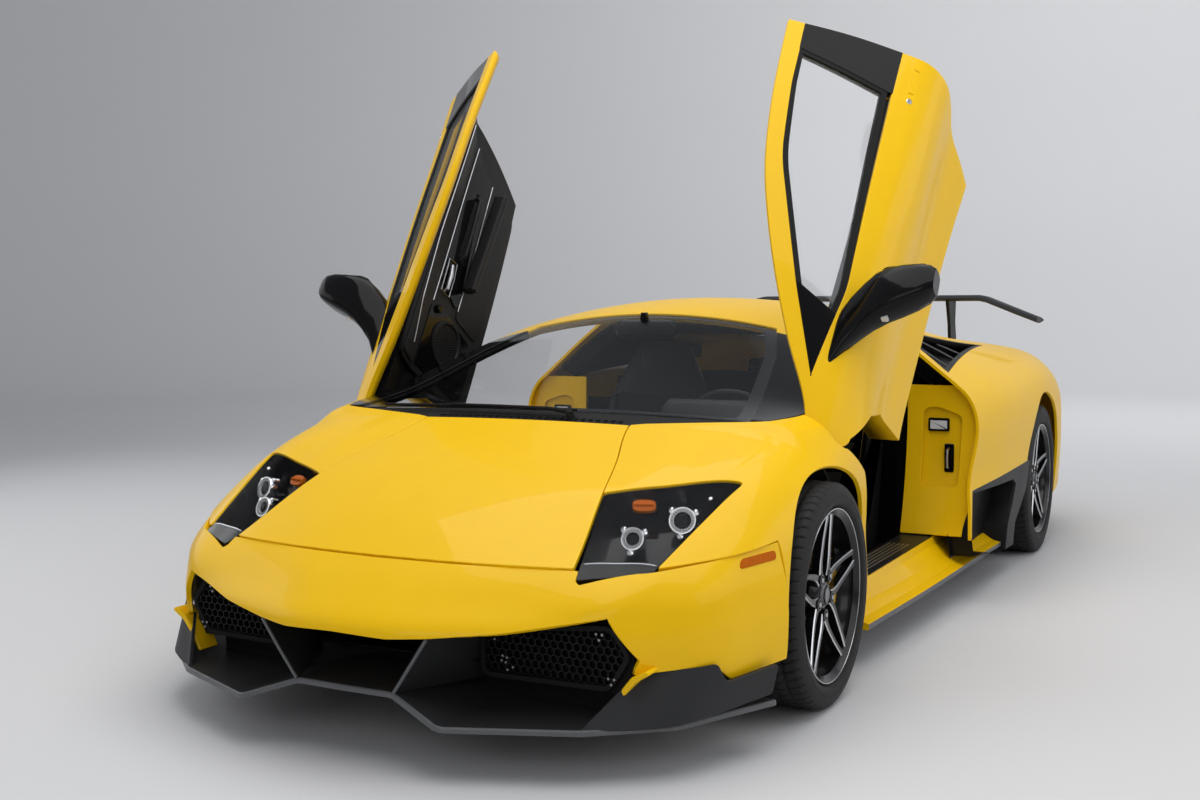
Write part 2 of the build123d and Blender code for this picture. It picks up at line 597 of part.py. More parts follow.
# ------------------------------------------------------------------ engine lid
SLAT_COUNT = 5
SLAT_PITCH = 192
SLAT_OPEN = 0.55  # open share of the pitch
SLAT_HALF = 310
SLAT_LAND = 6  # overlap of the slats' frame on the lid
LID_HOLE = ((-430, 640), (430, 640), (350, 1620), (-350, 1620))
with BuildPart() as lid:
    crown(LID_FRONT_Y, LID_REAR_Y, 0, LID_WALL)
    line = edge_line(LID_FRONT_Y - 50, LID_REAR_Y + 50, -SHUT_GAP)
    prism(Plane.XY, [*line, *[(-x, y) for x, y in line[::-1]]], 600, 1300, Mode.INTERSECT)
    prism(Plane.XY, LID_HOLE, 600, 1300)
    for x in HINGE_SPANS:
        barrel(LID_FRONT_Y, LID_HINGE_Z, LID_PIN, *x)
    # slats across the opening
    with BuildPart(mode=Mode.PRIVATE) as slats:
        crown(LID_HOLE[0][1] - SLAT_LAND, LID_HOLE[-1][1] + SLAT_LAND, 2, 12)
        prism(Plane.XY, grown(LID_HOLE, SLAT_LAND), 600, 1300, Mode.INTERSECT)
        for i in range(SLAT_COUNT):
            y = LID_HOLE[0][1] + SLAT_LAND + i * SLAT_PITCH
            block((-SLAT_HALF, SLAT_HALF), (y, y + SLAT_PITCH * SLAT_OPEN), (600, 1300), Mode.SUBTRACT)
    add(slats.part)
write(biggest(lid.part), "engine_lid")

# ------------------------------------------------------------------ tail
DECK_Y = LID_REAR_Y + SHUT_GAP
TAIL_WALL = 20
TAIL_CUT = (-TAIL_FACE_Y - 95, -TAIL_FACE_Y + 55)  # through the tail panel, as levels of the XZ plane
BAR_HALF = 870
BAR_HEIGHT = (400, 560)
REAR_GRILLE = ((-560, 610), (560, 610), (590, 820), (-590, 820))
TAIL_LAMP = ((600, 640), (790, 660), (770, 800), (620, 815))
PLATE_AREA = ((-600, 250), (600, 250), (520, 470), (-520, 470))
PIPE = ((-150, 300), (150, 300), (150, 420), (-150, 420))
PIPE_LENGTH = 362
with BuildPart() as fascia:
    strip(FASCIA_Y, TAIL_FACE_Y, EDGE, SILL, TAIL_WALL)
    fascia_left = biggest(fascia.part)
with BuildPart() as tail:
    crown(DECK_Y, TAIL_FACE_Y, 0, TAIL_WALL)
    line = edge_line(DECK_Y - 50, FASCIA_Y - JOINT_GAP, -JOINT_GAP)
    line += [(700, FASCIA_Y), (700, TAIL_Y)]
    prism(Plane.XY, [*line, *[(-x, y) for x, y in line[::-1]]], 600, 1300, Mode.INTERSECT)
    add(fascia_left)
    add(mirror(fascia_left, about=Plane.YZ))
    corners = half_section(TAIL_FACE_Y)[1]
    half = [*corners[: CREASE + 1], (BAR_HALF + 15, 330)]
    rim = [*half, *[(-x, z) for x, z in half[::-1]]]
    prism(Plane.XZ, rim, -TAIL_FACE_Y, -TAIL_FACE_Y + TAIL_WALL, Mode.ADD)
    prism(Plane.XZ, REAR_GRILLE, *TAIL_CUT)
    for side in (1, -1):
        prism(Plane.XZ, [(side * x, z) for x, z in TAIL_LAMP], *TAIL_CUT)
    # bumper bar, from just inside the tail panel
    bar = (
        (-BAR_HALF, TAIL_FACE_Y - 1), (BAR_HALF, TAIL_FACE_Y - 1), (BAR_HALF - 20, TAIL_FACE_Y + 20),
        (BAR_HALF - 170, TAIL_Y), (170 - BAR_HALF, TAIL_Y), (20 - BAR_HALF, TAIL_FACE_Y + 20),
    )
    prism(Plane.XY, bar, *BAR_HEIGHT, Mode.ADD)
    prism(Plane.XZ, PLATE_AREA, -TAIL_Y - 50, TAIL_CUT[1])
write(biggest(tail.part), "rear_fascia")

with BuildPart() as tail_lamp:
    prism(Plane.XZ, grown(TAIL_LAMP, -SEAT_GAP), -TAIL_FACE_Y - 6, -TAIL_FACE_Y + TAIL_WALL, Mode.ADD)
write(pair(tail_lamp.part), "tail_lamps")

DIFFUSER_HALF = 600
FIN_WALL = 12
with BuildPart() as diffuser:
    floor_end = REAR_BAY_END_Y + SEAT_GAP
    ramp = ((floor_end, 128), (floor_end, 118), (TAIL_Y - 12, 235), (TAIL_Y - 12, 250))
    prism(Plane.YZ, ramp, -DIFFUSER_HALF, DIFFUSER_HALF, Mode.ADD)
    edge = DIFFUSER_HALF - 4
    for x in (-edge, -edge / 2, edge / 2, edge):
        fin = ((floor_end + 15, 112), (TAIL_Y - 7, 150), (TAIL_Y - 7, 330), (floor_end + 115, 250))
        prism(Plane.YZ, fin, x - FIN_WALL / 2, x + FIN_WALL / 2, Mode.ADD)
    back = ((-edge, 240), (edge, 240), (518, 467), (-518, 467))
    prism(Plane.XZ, back, -TAIL_FACE_Y + 5, -TAIL_FACE_Y + 20, Mode.ADD)
    prism(Plane.XZ, PIPE, -TAIL_Y - 50, -TAIL_Y + 150)
write(biggest(diffuser.part), "diffuser")

with BuildPart() as exhaust:
    pipe = grown(PIPE, -SEAT_GAP)
    prism(Plane.XZ, pipe, -TAIL_Y, -TAIL_Y + PIPE_LENGTH, Mode.ADD)
    prism(Plane.XZ, grown(pipe, -8), -TAIL_Y, -TAIL_Y + PIPE_LENGTH - 60, Mode.SUBTRACT)
write(exhaust.part, "exhaust")

# ------------------------------------------------------------------ grilles
GRILLE_Y = -2100
GRILLE_OUTLINE = ((275, 200), (275, 322), (640, 362), (690, 292), (635, 205))
GRILLE_WALL = 8
with BuildPart() as front_grille:
    prism(Plane.XZ, GRILLE_OUTLINE, -MOUTH_REAR_Y + SEAT_GAP, -GRILLE_Y, Mode.ADD)
    prism(Plane.XZ, grown(GRILLE_OUTLINE, -GRILLE_WALL), -MOUTH_REAR_Y - 30, -GRILLE_Y - GRILLE_WALL)
with BuildPart() as rear_grille:
    prism(Plane.XZ, grown(REAR_GRILLE, -SEAT_GAP), -TAIL_FACE_Y + 8, -TAIL_FACE_Y + 16, Mode.ADD)
grilles = [front_grille.part, mirror(front_grille.part, about=Plane.YZ), rear_grille.part]
write(Compound(children=grilles), "grilles")

# ------------------------------------------------------------------ rear wing
WING_CHORD = (1965, 2215)
WING_Z = 1128
WING_STRUT_X = 415
with BuildPart() as rear_wing:
    half = ((0, WING_Z), (600, WING_Z), (858, 1022))
    upper = [(x, z + 13) for x, z in half]
    low = [(x, z - 9) for x, z in half]
    outline = [*upper, *low[::-1], *[(-x, z) for x, z in low[1:]], *[(-x, z) for x, z in upper[:0:-1]]]
    prism(Plane.XZ, outline, -WING_CHORD[1], -WING_CHORD[0], Mode.ADD)
    for x in (-WING_STRUT_X, WING_STRUT_X):
        prism(Plane.YZ, ((1990, WING_Z), (2180, WING_Z), (2190, 900), (2050, 900)), x - 9, x + 9, Mode.ADD)
    with BuildPart(mode=Mode.PRIVATE) as under_deck:
        crown(1900, 2300, -SEAT_GAP, 200)
    add(under_deck.part, mode=Mode.SUBTRACT)
write(biggest(rear_wing.part), "rear_wing")

# ------------------------------------------------------------------ tub
LINER_RADIUS = 385  # front wheelhouse, clear of the steered tyre
BAY_FRONT_Y = -1955
CABIN_FRONT_Y = -935
CABIN_REAR_Y = 850
FLOOR_TOP = FLOOR_LOW + FLOOR_WALL
TUNNEL_HALF = 120
TUNNEL_TOP = 360
SILL_RAIL = 90
RAIL_TOP = 640
REAR_WINDOW = ((-380, 380), (830, 985))
POST = (779, 789)
FLOOR_PLAN = (
    (FRONT_BAY_HALF, BAY_FRONT_Y), (FRONT_BAY_HALF, CABIN_FRONT_Y), (CABIN_HALF, CABIN_FRONT_Y),
    (CABIN_HALF, CABIN_REAR_Y), (REAR_BAY_HALF, CABIN_REAR_Y), (REAR_BAY_HALF, REAR_BAY_END_Y),
)
with BuildPart() as tub:
    prism(Plane.XY, [*FLOOR_PLAN, *[(-x, y) for x, y in FLOOR_PLAN[::-1]]], FLOOR_LOW, FLOOR_TOP, Mode.ADD)
    for side in (1, -1):
        rail_sides = sorted((side * CABIN_HALF, side * (CABIN_HALF - SILL_RAIL)))
        block(rail_sides, (CABIN_FRONT_Y, CABIN_REAR_Y), (FLOOR_LOW, SILL_TOP))
    tunnel_ends = (FIREWALL_Y + WALL + SEAT_GAP, BULKHEAD_Y - SEAT_GAP)
    block((-TUNNEL_HALF, TUNNEL_HALF), tunnel_ends, (FLOOR_LOW, TUNNEL_TOP))
write(biggest(tub.part), "floor_tub")

# Wheelhouses: the bay walls and arch liners that stand on the floor
HOUSE_LOW = FLOOR_TOP + SEAT_GAP
FRONT_BAY_WALL = (
    (BAY_FRONT_Y, HOUSE_LOW), (BAY_FRONT_Y, 390), (-1811, 480), (-1700, 560), (-1440, 735),
    (FIREWALL_Y, 735), (FIREWALL_Y, 540), (CABIN_FRONT_Y, 420), (CABIN_FRONT_Y, HOUSE_LOW),
)
REAR_BAY_WALL = (
    (BULKHEAD_Y, HOUSE_LOW), (BULKHEAD_Y, RAIL_TOP), (REAR_BAY_END_Y, 600), (REAR_BAY_END_Y, HOUSE_LOW),
)
houses = []
for outline, half, axle_y, axle_z, radius, reach in (
    (FRONT_BAY_WALL, FRONT_BAY_HALF, FRONT_AXLE_Y, FRONT_TYRE_RADIUS, LINER_RADIUS, 826),
    (REAR_BAY_WALL, REAR_BAY_HALF, REAR_AXLE_Y, REAR_TYRE_RADIUS, REAR_ARCH_RADIUS, 950),
):
    with BuildPart() as house:
        prism(Plane.YZ, outline, half - WALL, half, Mode.ADD)
        barrel(axle_y, axle_z, radius + LINER, half, reach)
        barrel(axle_y, axle_z, radius, half, reach + 1, Mode.SUBTRACT)
        block((half, 1200), (axle_y - 500, axle_y + 500), (-200, HOUSE_LOW), Mode.SUBTRACT)
    left_house = biggest(house.part)
    houses += [left_house, mirror(left_house, about=Plane.YZ)]
write(Compound(children=houses), "wheelhouses")

# Half outlines of the walls ahead of and behind the cabin: x and z
FIREWALL = (
    (FRONT_BAY_HALF - WALL - SEAT_GAP, HOUSE_LOW), (FRONT_BAY_HALF - WALL - SEAT_GAP, 640),
    (POST[1], 640), (POST[1], 735), (700, 735), (700, 760),
)
CABIN_REAR_WALL = (
    (REAR_BAY_HALF - WALL - SEAT_GAP, HOUSE_LOW), (REAR_BAY_HALF - WALL - SEAT_GAP, RAIL_TOP + SEAT_GAP),
    (REAR_BAY_HALF + SEAT_GAP, RAIL_TOP + SEAT_GAP), (REAR_BAY_HALF + SEAT_GAP, SILL_TOP + SEAT_GAP),
    (CABIN_HALF, SILL_TOP + SEAT_GAP), (CABIN_HALF, 700), (REAR_BAY_HALF, 700), (REAR_BAY_HALF, 800),
)
with BuildPart() as firewall:
    outline = [*FIREWALL, *[(-x, z) for x, z in FIREWALL[::-1]]]
    prism(Plane.XZ, outline, -FIREWALL_Y - WALL, -FIREWALL_Y - SEAT_GAP, Mode.ADD)
    for side in (1, -1):
        ends = sorted((side * (FRONT_BAY_HALF - WALL - 1), side * 900))
        barrel(FRONT_AXLE_Y, FRONT_TYRE_RADIUS, LINER_RADIUS + LINER + SEAT_GAP, *ends, Mode.SUBTRACT)
        # hinge posts with their pins
        post = sorted((side * POST[0], side * POST[1]))
        block(post, (HINGE_Y - 25, FIREWALL_Y + WALL), (700, 763))
        barrel(HINGE_Y, HINGE_Z, PIN_RADIUS, side * PIN_SPAN[0], side * PIN_SPAN[1])
with BuildPart() as rear_wall:
    outline = [*CABIN_REAR_WALL, *[(-x, z) for x, z in CABIN_REAR_WALL[::-1]]]
    prism(Plane.XZ, outline, -BULKHEAD_Y - WALL, -BULKHEAD_Y, Mode.ADD)
    with BuildPart(mode=Mode.PRIVATE) as bulkhead_top:
        crown(BULKHEAD_Y, BULKHEAD_Y + WALL, PILLAR + SEAT_GAP, 400, trim=20)
    add(bulkhead_top.part)
    block(REAR_WINDOW[0], (BULKHEAD_Y - 50, BULKHEAD_Y + 80), REAR_WINDOW[1], Mode.SUBTRACT)
write(Compound(children=[biggest(firewall.part), biggest(rear_wall.part)]), "bulkheads")

with BuildPart() as rear_window:
    block(
        [v + SEAT_GAP * (1 if v < 0 else -1) for v in REAR_WINDOW[0]],
        (BULKHEAD_Y + 8, BULKHEAD_Y + 8 + GLASS),
        (REAR_WINDOW[1][0] + SEAT_GAP, REAR_WINDOW[1][1] - SEAT_GAP),
    )
write(Compound(children=[windscreen, rear_window.part]), "glazing")

# ------------------------------------------------------------------ cowl with wiper
with BuildPart() as cowl:
    crown(-1428, -1340, 4, 16)
    front = [(half_section(y)[1][EDGE][0] - 2 * JOINT_GAP, y) for y in (-1426, -1400, -1350)]
    plan = [*front, (0, SCREEN_EDGE[0][1] - JOINT_GAP)]
    prism(Plane.XY, [*plan, *[(-x, y) for x, y in front[::-1]]], 500, 1000, Mode.INTERSECT)
    with BuildPart(mode=Mode.PRIVATE) as arm:
        crown(-1428, -1340, -14, 5)
        prism(Plane.XY, ((130, -1412), (130, -1392), (-560, -1366), (-560, -1376)), 500, 1000, Mode.INTERSECT)
    add(arm.part)
    for x0, x1 in HINGE_SPANS:
        barrel(BONNET_REAR_Y, BONNET_HINGE_Z, LID_PIN + SEAT_GAP, x0 - 1, x1 + 1, Mode.SUBTRACT)
write(biggest(cowl.part), "cowl")

# ------------------------------------------------------------------ cabin
DASH = ((-1088, 540), (-1088, 740), (-850, 762), (-790, 715), (-820, 560), (-930, 520))
DASH_HALF = 690
CONSOLE_HALF = 115
DRIVER_X = 360
WHEEL_CENTRE = (DRIVER_X, -640, 665)
WHEEL_TILT = -65
COLUMN_RADIUS = 18
COLUMN_LENGTH = 215
with BuildPart() as dash:
    prism(Plane.YZ, DASH, -DASH_HALF, DASH_HALF, Mode.ADD)
    hood = ((-940, 740), (-900, 815), (-780, 800), (-800, 715))
    prism(Plane.YZ, hood, DRIVER_X - 165, DRIVER_X + 165, Mode.ADD)
    console_low = TUNNEL_TOP + SEAT_GAP
    console = ((-1000, 600), (-815, 600), (-560, 430), (-560, console_low), (-1000, console_low))
    prism(Plane.YZ, console, -CONSOLE_HALF, CONSOLE_HALF, Mode.ADD)
    for side in (1, -1):
        ends = (side * 450, side * 900)
        barrel(FRONT_AXLE_Y, FRONT_TYRE_RADIUS, LINER_RADIUS + LINER + SEAT_GAP, *ends, Mode.SUBTRACT)
    # bush of the steering column
    with Locations(Location(WHEEL_CENTRE, (WHEEL_TILT, 0, 0)) * Location((0, 0, -COLUMN_LENGTH / 2))):
        Cylinder(COLUMN_RADIUS + SEAT_GAP, COLUMN_LENGTH + 2, mode=Mode.SUBTRACT)
write(biggest(dash.part), "dashboard")

WHEEL_PLACE = Location(WHEEL_CENTRE, (WHEEL_TILT, 0, 0))  # its own Z points at the driver
WHEEL_RADIUS = 172
with BuildPart() as steering_wheel:
    with Locations(WHEEL_PLACE):
        Torus(WHEEL_RADIUS, 14)
    with Locations(WHEEL_PLACE * Location((0, 0, -10))):
        Cylinder(48, 30)
    for angle in (0, 180, 270):
        with Locations(WHEEL_PLACE * Location((0, 0, -6), (0, 0, angle)) * Location((105, 0, 0))):
            Box(150, 34, 10)
    with Locations(WHEEL_PLACE * Location((0, 0, -COLUMN_LENGTH / 2))):
        Cylinder(COLUMN_RADIUS, COLUMN_LENGTH)
write(steering_wheel.part, "steering_wheel")

SEAT_X = 365
SEAT_HALF = 235
SEAT_FOOT = FLOOR_TOP + SEAT_GAP
SEAT_BOLSTER = 65
# Side view of a seat and of the recess between its bolsters: y and z
SEAT_SIDE = (
    (-470, SEAT_FOOT), (-500, 330), (-440, 360), (90, 300), (270, 820), (300, 960), (360, 960),
    (370, 800), (215, SEAT_FOOT),
)
SEAT_RECESS = (
    (-520, 300), (-60, 250), (80, 270), (215, 620), (215, 700), (100, 700), (-10, 380), (-520, 420),
)
SHOULDER_CUT = ((110, 1000), (300, 1000), (300, 700), (235, 700))  # beside the headrest: x and z
with BuildPart() as seat:
    prism(Plane.YZ, SEAT_SIDE, SEAT_X - SEAT_HALF, SEAT_X + SEAT_HALF, Mode.ADD)
    prism(Plane.YZ, SEAT_RECESS, SEAT_X - SEAT_HALF + SEAT_BOLSTER, SEAT_X + SEAT_HALF - SEAT_BOLSTER)
    for side in (1, -1):
        prism(Plane.XZ, [(SEAT_X + side * x, z) for x, z in SHOULDER_CUT], -500, 500)
write(pair(biggest(seat.part)), "seats")

with BuildPart() as engine:
    block((-290, 290), (520, 1480), (FLOOR_TOP + SEAT_GAP, 720))
write(engine.part, "engine_block")

# ------------------------------------------------------------------ wheels and suspension
BEAD_RADIUS = 228
HUB_RADIUS = 72
BOSS_REACH = 120  # of the ball-joint bosses above and below the wheel's axis


def revolved(profile, centre):
    """A turned piece about a line across the car, from (x, radius) corners."""
    with BuildSketch(Plane.XY) as face:
        with BuildLine():
            Polyline(*profile, close=True)
        make_face()
    turned = revolve(face.sketch, axis=Axis.X)
    return turned.moved(Location(centre))


def both_sides(outer, inner):
    """A closed profile from its outer and inner half lines of (x, radius) corners."""
    far = [(-x, r) for x, r in outer[::-1]]
    near = [(-x, r) for x, r in inner[::-1]]
    return [*outer, *far, *near, *inner]


def tyre(radius, width, centre):
    """A hollow tyre with square shoulders, open at its beads."""
    half, bead, lip = width / 2, BEAD_RADIUS + SEAT_GAP, width / 2 - RIM_SETBACK - 11 - SEAT_GAP
    outer = [(lip, bead), (lip, 247), (half, 272), (half - 5, radius - 26), (half - 24, radius)]
    inner = [(half - 34, radius - 14), (half - 14, 276), (lip - 14, bead)]
    return revolved(both_sides(outer, inner), centre)


def rim(width, dish, centre):
    """A rim with five double spokes, its hub and the brake disc on it."""
    edge = width / 2 - RIM_SETBACK
    outer = [
        (edge, FLANGE_RADIUS), (edge - 11, FLANGE_RADIUS), (edge - 11, BEAD_RADIUS),
        (edge - 45, BEAD_RADIUS), (edge - 60, BEAD_RADIUS - 14),
    ]
    inner = [
        (edge - 60, BEAD_RADIUS - 22), (edge - 46, BEAD_RADIUS - 9), (edge - 12, BEAD_RADIUS - 9),
        (edge, FLANGE_RADIUS - 11.5),
    ]
    barrel_part = revolved(both_sides(outer, inner), (0, 0, 0))
    mount = edge - dish
    disc = mount - 70
    with BuildPart() as wheel_part:
        add(barrel_part)
        with BuildSketch(Plane.YZ.offset(edge - 40)) as face:
            Circle(HUB_RADIUS)
            with PolarLocations(0, SPOKE_COUNT):
                for lean in (1, -1):
                    root, tip = HUB_RADIUS - 17, BEAD_RADIUS - 5
                    spoke = ((root, lean * 8), (root, lean * 24), (tip, lean * 50), (tip, lean * 38))
                    with BuildLine():
                        Polyline(*spoke, close=True)
                    make_face()
        extrude(face.sketch, amount=24)
        barrel(0, 0, HUB_RADIUS - 2, disc, edge - 20)
        barrel(0, 0, DISC_RADIUS, disc, disc + DISC_WALL)
        barrel(0, 0, SPINDLE_RADIUS + SEAT_GAP, disc - 5, mount + 20, Mode.SUBTRACT)
    return wheel_part.part.moved(Location(centre)), disc, mount


def carrier(disc, mount, inboard, caliper_turn, joint_x):
    """A hub carrier on a wheel's axis: spindle, body, caliper over the disc and two joint bosses."""
    gap = SHUT_GAP
    with BuildPart() as part:
        barrel(0, 0, SPINDLE_RADIUS, inboard, mount + 15)
        barrel(0, 0, 58, inboard, disc - gap)
        with Locations(Location((0, 0, 0), (caliper_turn, 0, 0))):
            with Locations((disc + DISC_WALL / 2, 0, 165)):
                Box(DISC_WALL + 2 * gap + 50, 150, 76)
            with Locations(((inboard + disc - gap) / 2, 0, 90)):
                Box(disc - gap - inboard, 50, 110)
        barrel(0, 0, CALIPER_REACH, inboard, mount + 60, Mode.INTERSECT)
        barrel(0, 0, DISC_RADIUS + gap, disc - gap, disc + DISC_WALL + gap, Mode.SUBTRACT)
        with Locations((joint_x, 0, 0)):
            Cylinder(20, 2 * BOSS_REACH)
        barrel(0, 0, SPINDLE_RADIUS, inboard, mount + 15)
    return part.part


WHEELS = (
    # name, axle y, radius, width, track, dish, caliper angle
    ("front", FRONT_AXLE_Y, FRONT_TYRE_RADIUS, FRONT_TYRE_WIDTH, FRONT_TRACK, 75, -90),
    ("rear", REAR_AXLE_Y, REAR_TYRE_RADIUS, REAR_TYRE_WIDTH, REAR_TRACK, 95, -90),
)
ARM_WALL = 26
ARM_HALF = 28
suspension = []
for name, y, radius, width, track, dish, turn in WHEELS:
    centre = (track / 2, y, radius)
    tyre_left = tyre(radius, width, centre)
    rim_left, disc, mount = rim(width, dish, centre)
    joint = disc - 40
    carrier_left = carrier(disc, mount, disc - 105, turn, joint).moved(Location(centre))
    for side, word in ((1, "left"), (-1, "right")):
        for piece, kind in ((tyre_left, "tyre"), (rim_left, "rim")):
            write(piece if side == 1 else mirror(piece, about=Plane.YZ), f"{kind}_{name}_{word}")
        if name == "front":
            write(carrier_left if side == 1 else mirror(carrier_left, about=Plane.YZ), f"hub_carrier_{word}")
    # upper and lower arms from the bay wall to the joint bosses
    wall_x = FRONT_BAY_HALF if name == "front" else REAR_BAY_HALF
    pieces = [carrier_left] if name == "rear" else []
    for sign in (1, -1):
        near = radius + sign * (BOSS_REACH + SEAT_GAP)
        far = near + sign * ARM_WALL
        ends = (wall_x + SEAT_GAP, track / 2 + joint + 22)
        with BuildPart() as arm:
            block(ends, (y - ARM_HALF, y + ARM_HALF), sorted((near, far)))
        pieces.append(arm.part)
    suspension += [*pieces, *[mirror(piece, about=Plane.YZ) for piece in pieces]]
write(Compound(children=suspension), "suspension")
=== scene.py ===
"""Looks of a two-seat mid-engined supercar, laid over its packed construction as a Blender add-on.

Frame: metres, +Z up, nose towards -Y, the car's left towards +X. The body's skin is one table of
cross sections; every outer panel is a stretch of that skin with rolled edges.
"""

from math import asin, cos, pi, radians, sin, sqrt

import bpy
import numpy as np
from bpy.props import FloatProperty, FloatVectorProperty, IntProperty, PointerProperty
from bpy.types import Operator, Panel, PropertyGroup
from mathutils import Matrix, Vector
from mathutils.geometry import delaunay_2d_cdt


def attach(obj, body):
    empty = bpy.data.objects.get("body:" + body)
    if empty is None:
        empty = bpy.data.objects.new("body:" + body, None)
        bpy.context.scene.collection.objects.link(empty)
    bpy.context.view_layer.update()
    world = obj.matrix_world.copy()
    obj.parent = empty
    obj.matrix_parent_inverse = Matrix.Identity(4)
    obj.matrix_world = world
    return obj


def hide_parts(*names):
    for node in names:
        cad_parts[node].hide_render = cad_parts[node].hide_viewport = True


bl_info = {
    "name": "Scissor-door supercar",
    "version": (1, 0, 0),
    "blender": (4, 5, 0),
    "location": "View3D > Sidebar > Supercar",
    "description": "Panels, glass, wheels, cabin and finishes of a mid-engined supercar",
    "category": "Object",
}

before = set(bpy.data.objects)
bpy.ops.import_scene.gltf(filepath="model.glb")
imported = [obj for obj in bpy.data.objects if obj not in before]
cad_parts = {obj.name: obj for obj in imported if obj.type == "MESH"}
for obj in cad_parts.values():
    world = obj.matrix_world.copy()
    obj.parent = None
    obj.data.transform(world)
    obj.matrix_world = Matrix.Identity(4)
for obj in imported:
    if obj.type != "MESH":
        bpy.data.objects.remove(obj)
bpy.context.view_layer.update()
MM = 0.001

# ------------------------------------------------------------------ driving dimensions, in mm
FRONT_AXLE = (-1335, 314.3)  # y and z
REAR_AXLE = (1330, 329.1)
FRONT_ARCH_RADIUS = 356
REAR_ARCH_RADIUS = 385
HINGE = (-1140, 750)  # the doors' hinge line: y and z
DOOR_OPEN = radians(57)
DOOR_REACH = 1351
DOOR_FOOT = 45
DOOR_LOW = 243
LID_FRONT_Y = 560
LID_REAR_Y = 1850
LID_HOLE = (430, 640, 350, 1620)  # half width and y, in front and behind
BONNET_REAR_Y = -1434
FASCIA_Y = 2050
TAIL_FACE_Y = 2305

# Half sections of the body from nose to tail.
# Columns: y, crown z, then x and z of edge, crest, shoulder, waist, crease and sill.
BODY_SECTIONS = (
    (-2165, 481, (548, 447), (600, 438), (672, 420), (730, 380), (760, 300), (770, 215)),
    (-2030, 555, (522, 515), (620, 500), (710, 481), (790, 420), (835, 320), (840, 225)),
    (-1811, 650, (468, 635), (620, 618), (762, 590), (885, 505), (915, 380), (910, 220)),
    (-1648, 706, (425, 694), (620, 690), (800, 668), (905, 565), (936, 400), (930, 220)),
    (-1430, 775, (353, 772), (600, 765), (822, 728), (930, 625), (955, 450), (940, 230)),
    (-1400, 789, (500, 780), (650, 771), (827, 733), (933, 631), (957, 454), (940, 231)),
    (-1335, 813, (740, 789), (790, 775), (840, 745), (938, 640), (960, 460), (940, 232)),
    (-1150, 878, (800, 800), (826, 789), (862, 765), (932, 660), (940, 480), (915, 238)),
    (-900, 967, (715, 885), (845, 802), (895, 745), (918, 640), (892, 440), (900, 240)),
    (-600, 1073, (628, 985), (862, 806), (912, 745), (932, 640), (905, 430), (915, 240)),
    (-340, 1118, (578, 1045), (875, 809), (925, 748), (950, 640), (916, 430), (932, 240)),
    (-60, 1138, (562, 1072), (880, 812), (938, 752), (970, 650), (932, 440), (957, 240)),
    (220, 1131, (556, 1074), (890, 816), (950, 760), (985, 660), (958, 450), (985, 240)),
    (600, 1085, (560, 1030), (860, 860), (975, 780), (1015, 680), (1000, 500), (985, 200)),
    (980, 1035, (575, 985), (840, 880), (985, 790), (1027, 690), (1020, 500), (1000, 200)),
    (1330, 990, (590, 950), (830, 885), (985, 800), (1029, 700), (1028, 520), (1005, 200)),
    (1700, 950, (600, 925), (820, 880), (960, 805), (1015, 700), (1020, 520), (1000, 220)),
    (2050, 920, (600, 905), (800, 870), (900, 800), (960, 700), (975, 520), (965, 240)),
    (2200, 905, (595, 892), (780, 850), (865, 785), (915, 700), (935, 520), (925, 250)),
    (2330, 893, (590, 880), (755, 835), (830, 770), (870, 690), (890, 520), (885, 255)),
)
EDGE, CREST, SHOULDER, WAIST, CREASE, SILL = range(6)
BODY_ROUNDING = (0, 80, 70, 70, 60, 0)  # set-back of each column's corner
BODY_BULGE = (0.012, 0.012, 0.012, 0.012, 0.006)  # crowning of each run, as a share of its length

# Plan sections of the nose. Columns: z, the y on the centre line, then x and y of kink, cheek,
# corner, flank and arch end.
NOSE_SECTIONS = (
    (150, (0, -2300), (150, -2292), (420, -2215), (640, -2075), (835, -1935), (916, -1697)),
    (250, (0, -2338), (155, -2328), (425, -2250), (672, -2140), (848, -1960), (930, -1697)),
    (345, (0, -2347), (153, -2338), (422, -2258), (670, -2150), (845, -1965), (933, -1697)),
    (400, (0, -2285), (150, -2278), (420, -2205), (657, -2147), (838, -1965), (929, -1697)),
    (490, (0, -2150), (238, -2135), (537, -2075), (705, -2032), (840, -1880), (909, -1697)),
    (545, (0, -2050), (238, -2035), (525, -1980), (690, -1940), (830, -1800), (896, -1697)),
)
NOSE_ROUNDING = (0, 60, 70, 60, 80, 0)

BUMPER_SPLIT = ((-2400, 486), (-2160, 486), (-2035, 484), (-1690, 521))
LAMP_OUTLINE = ((552, -2118), (468, -1811), (792, -1648), (707, -2030))
SCREEN_EDGE = ((0, -1362), (690, -1346), (560, -800), (470, -555))
PRINT_EDGE = ((0, -1338), (640, -1322), (522, -800), (440, -592))
WINDOW_OUTLINE = ((790, -1010), (715, -740), (618, -330), (602, -60), (600, 80), (850, 40), (842, -700))
INTAKE_OUTLINE = ((600, 262), (850, 262), (712, 1500))
SCOOP_OUTLINE = ((120, 238), (200, 412), (985, 447), (1010, 440), (985, 330), (760, 128), (120, 128))


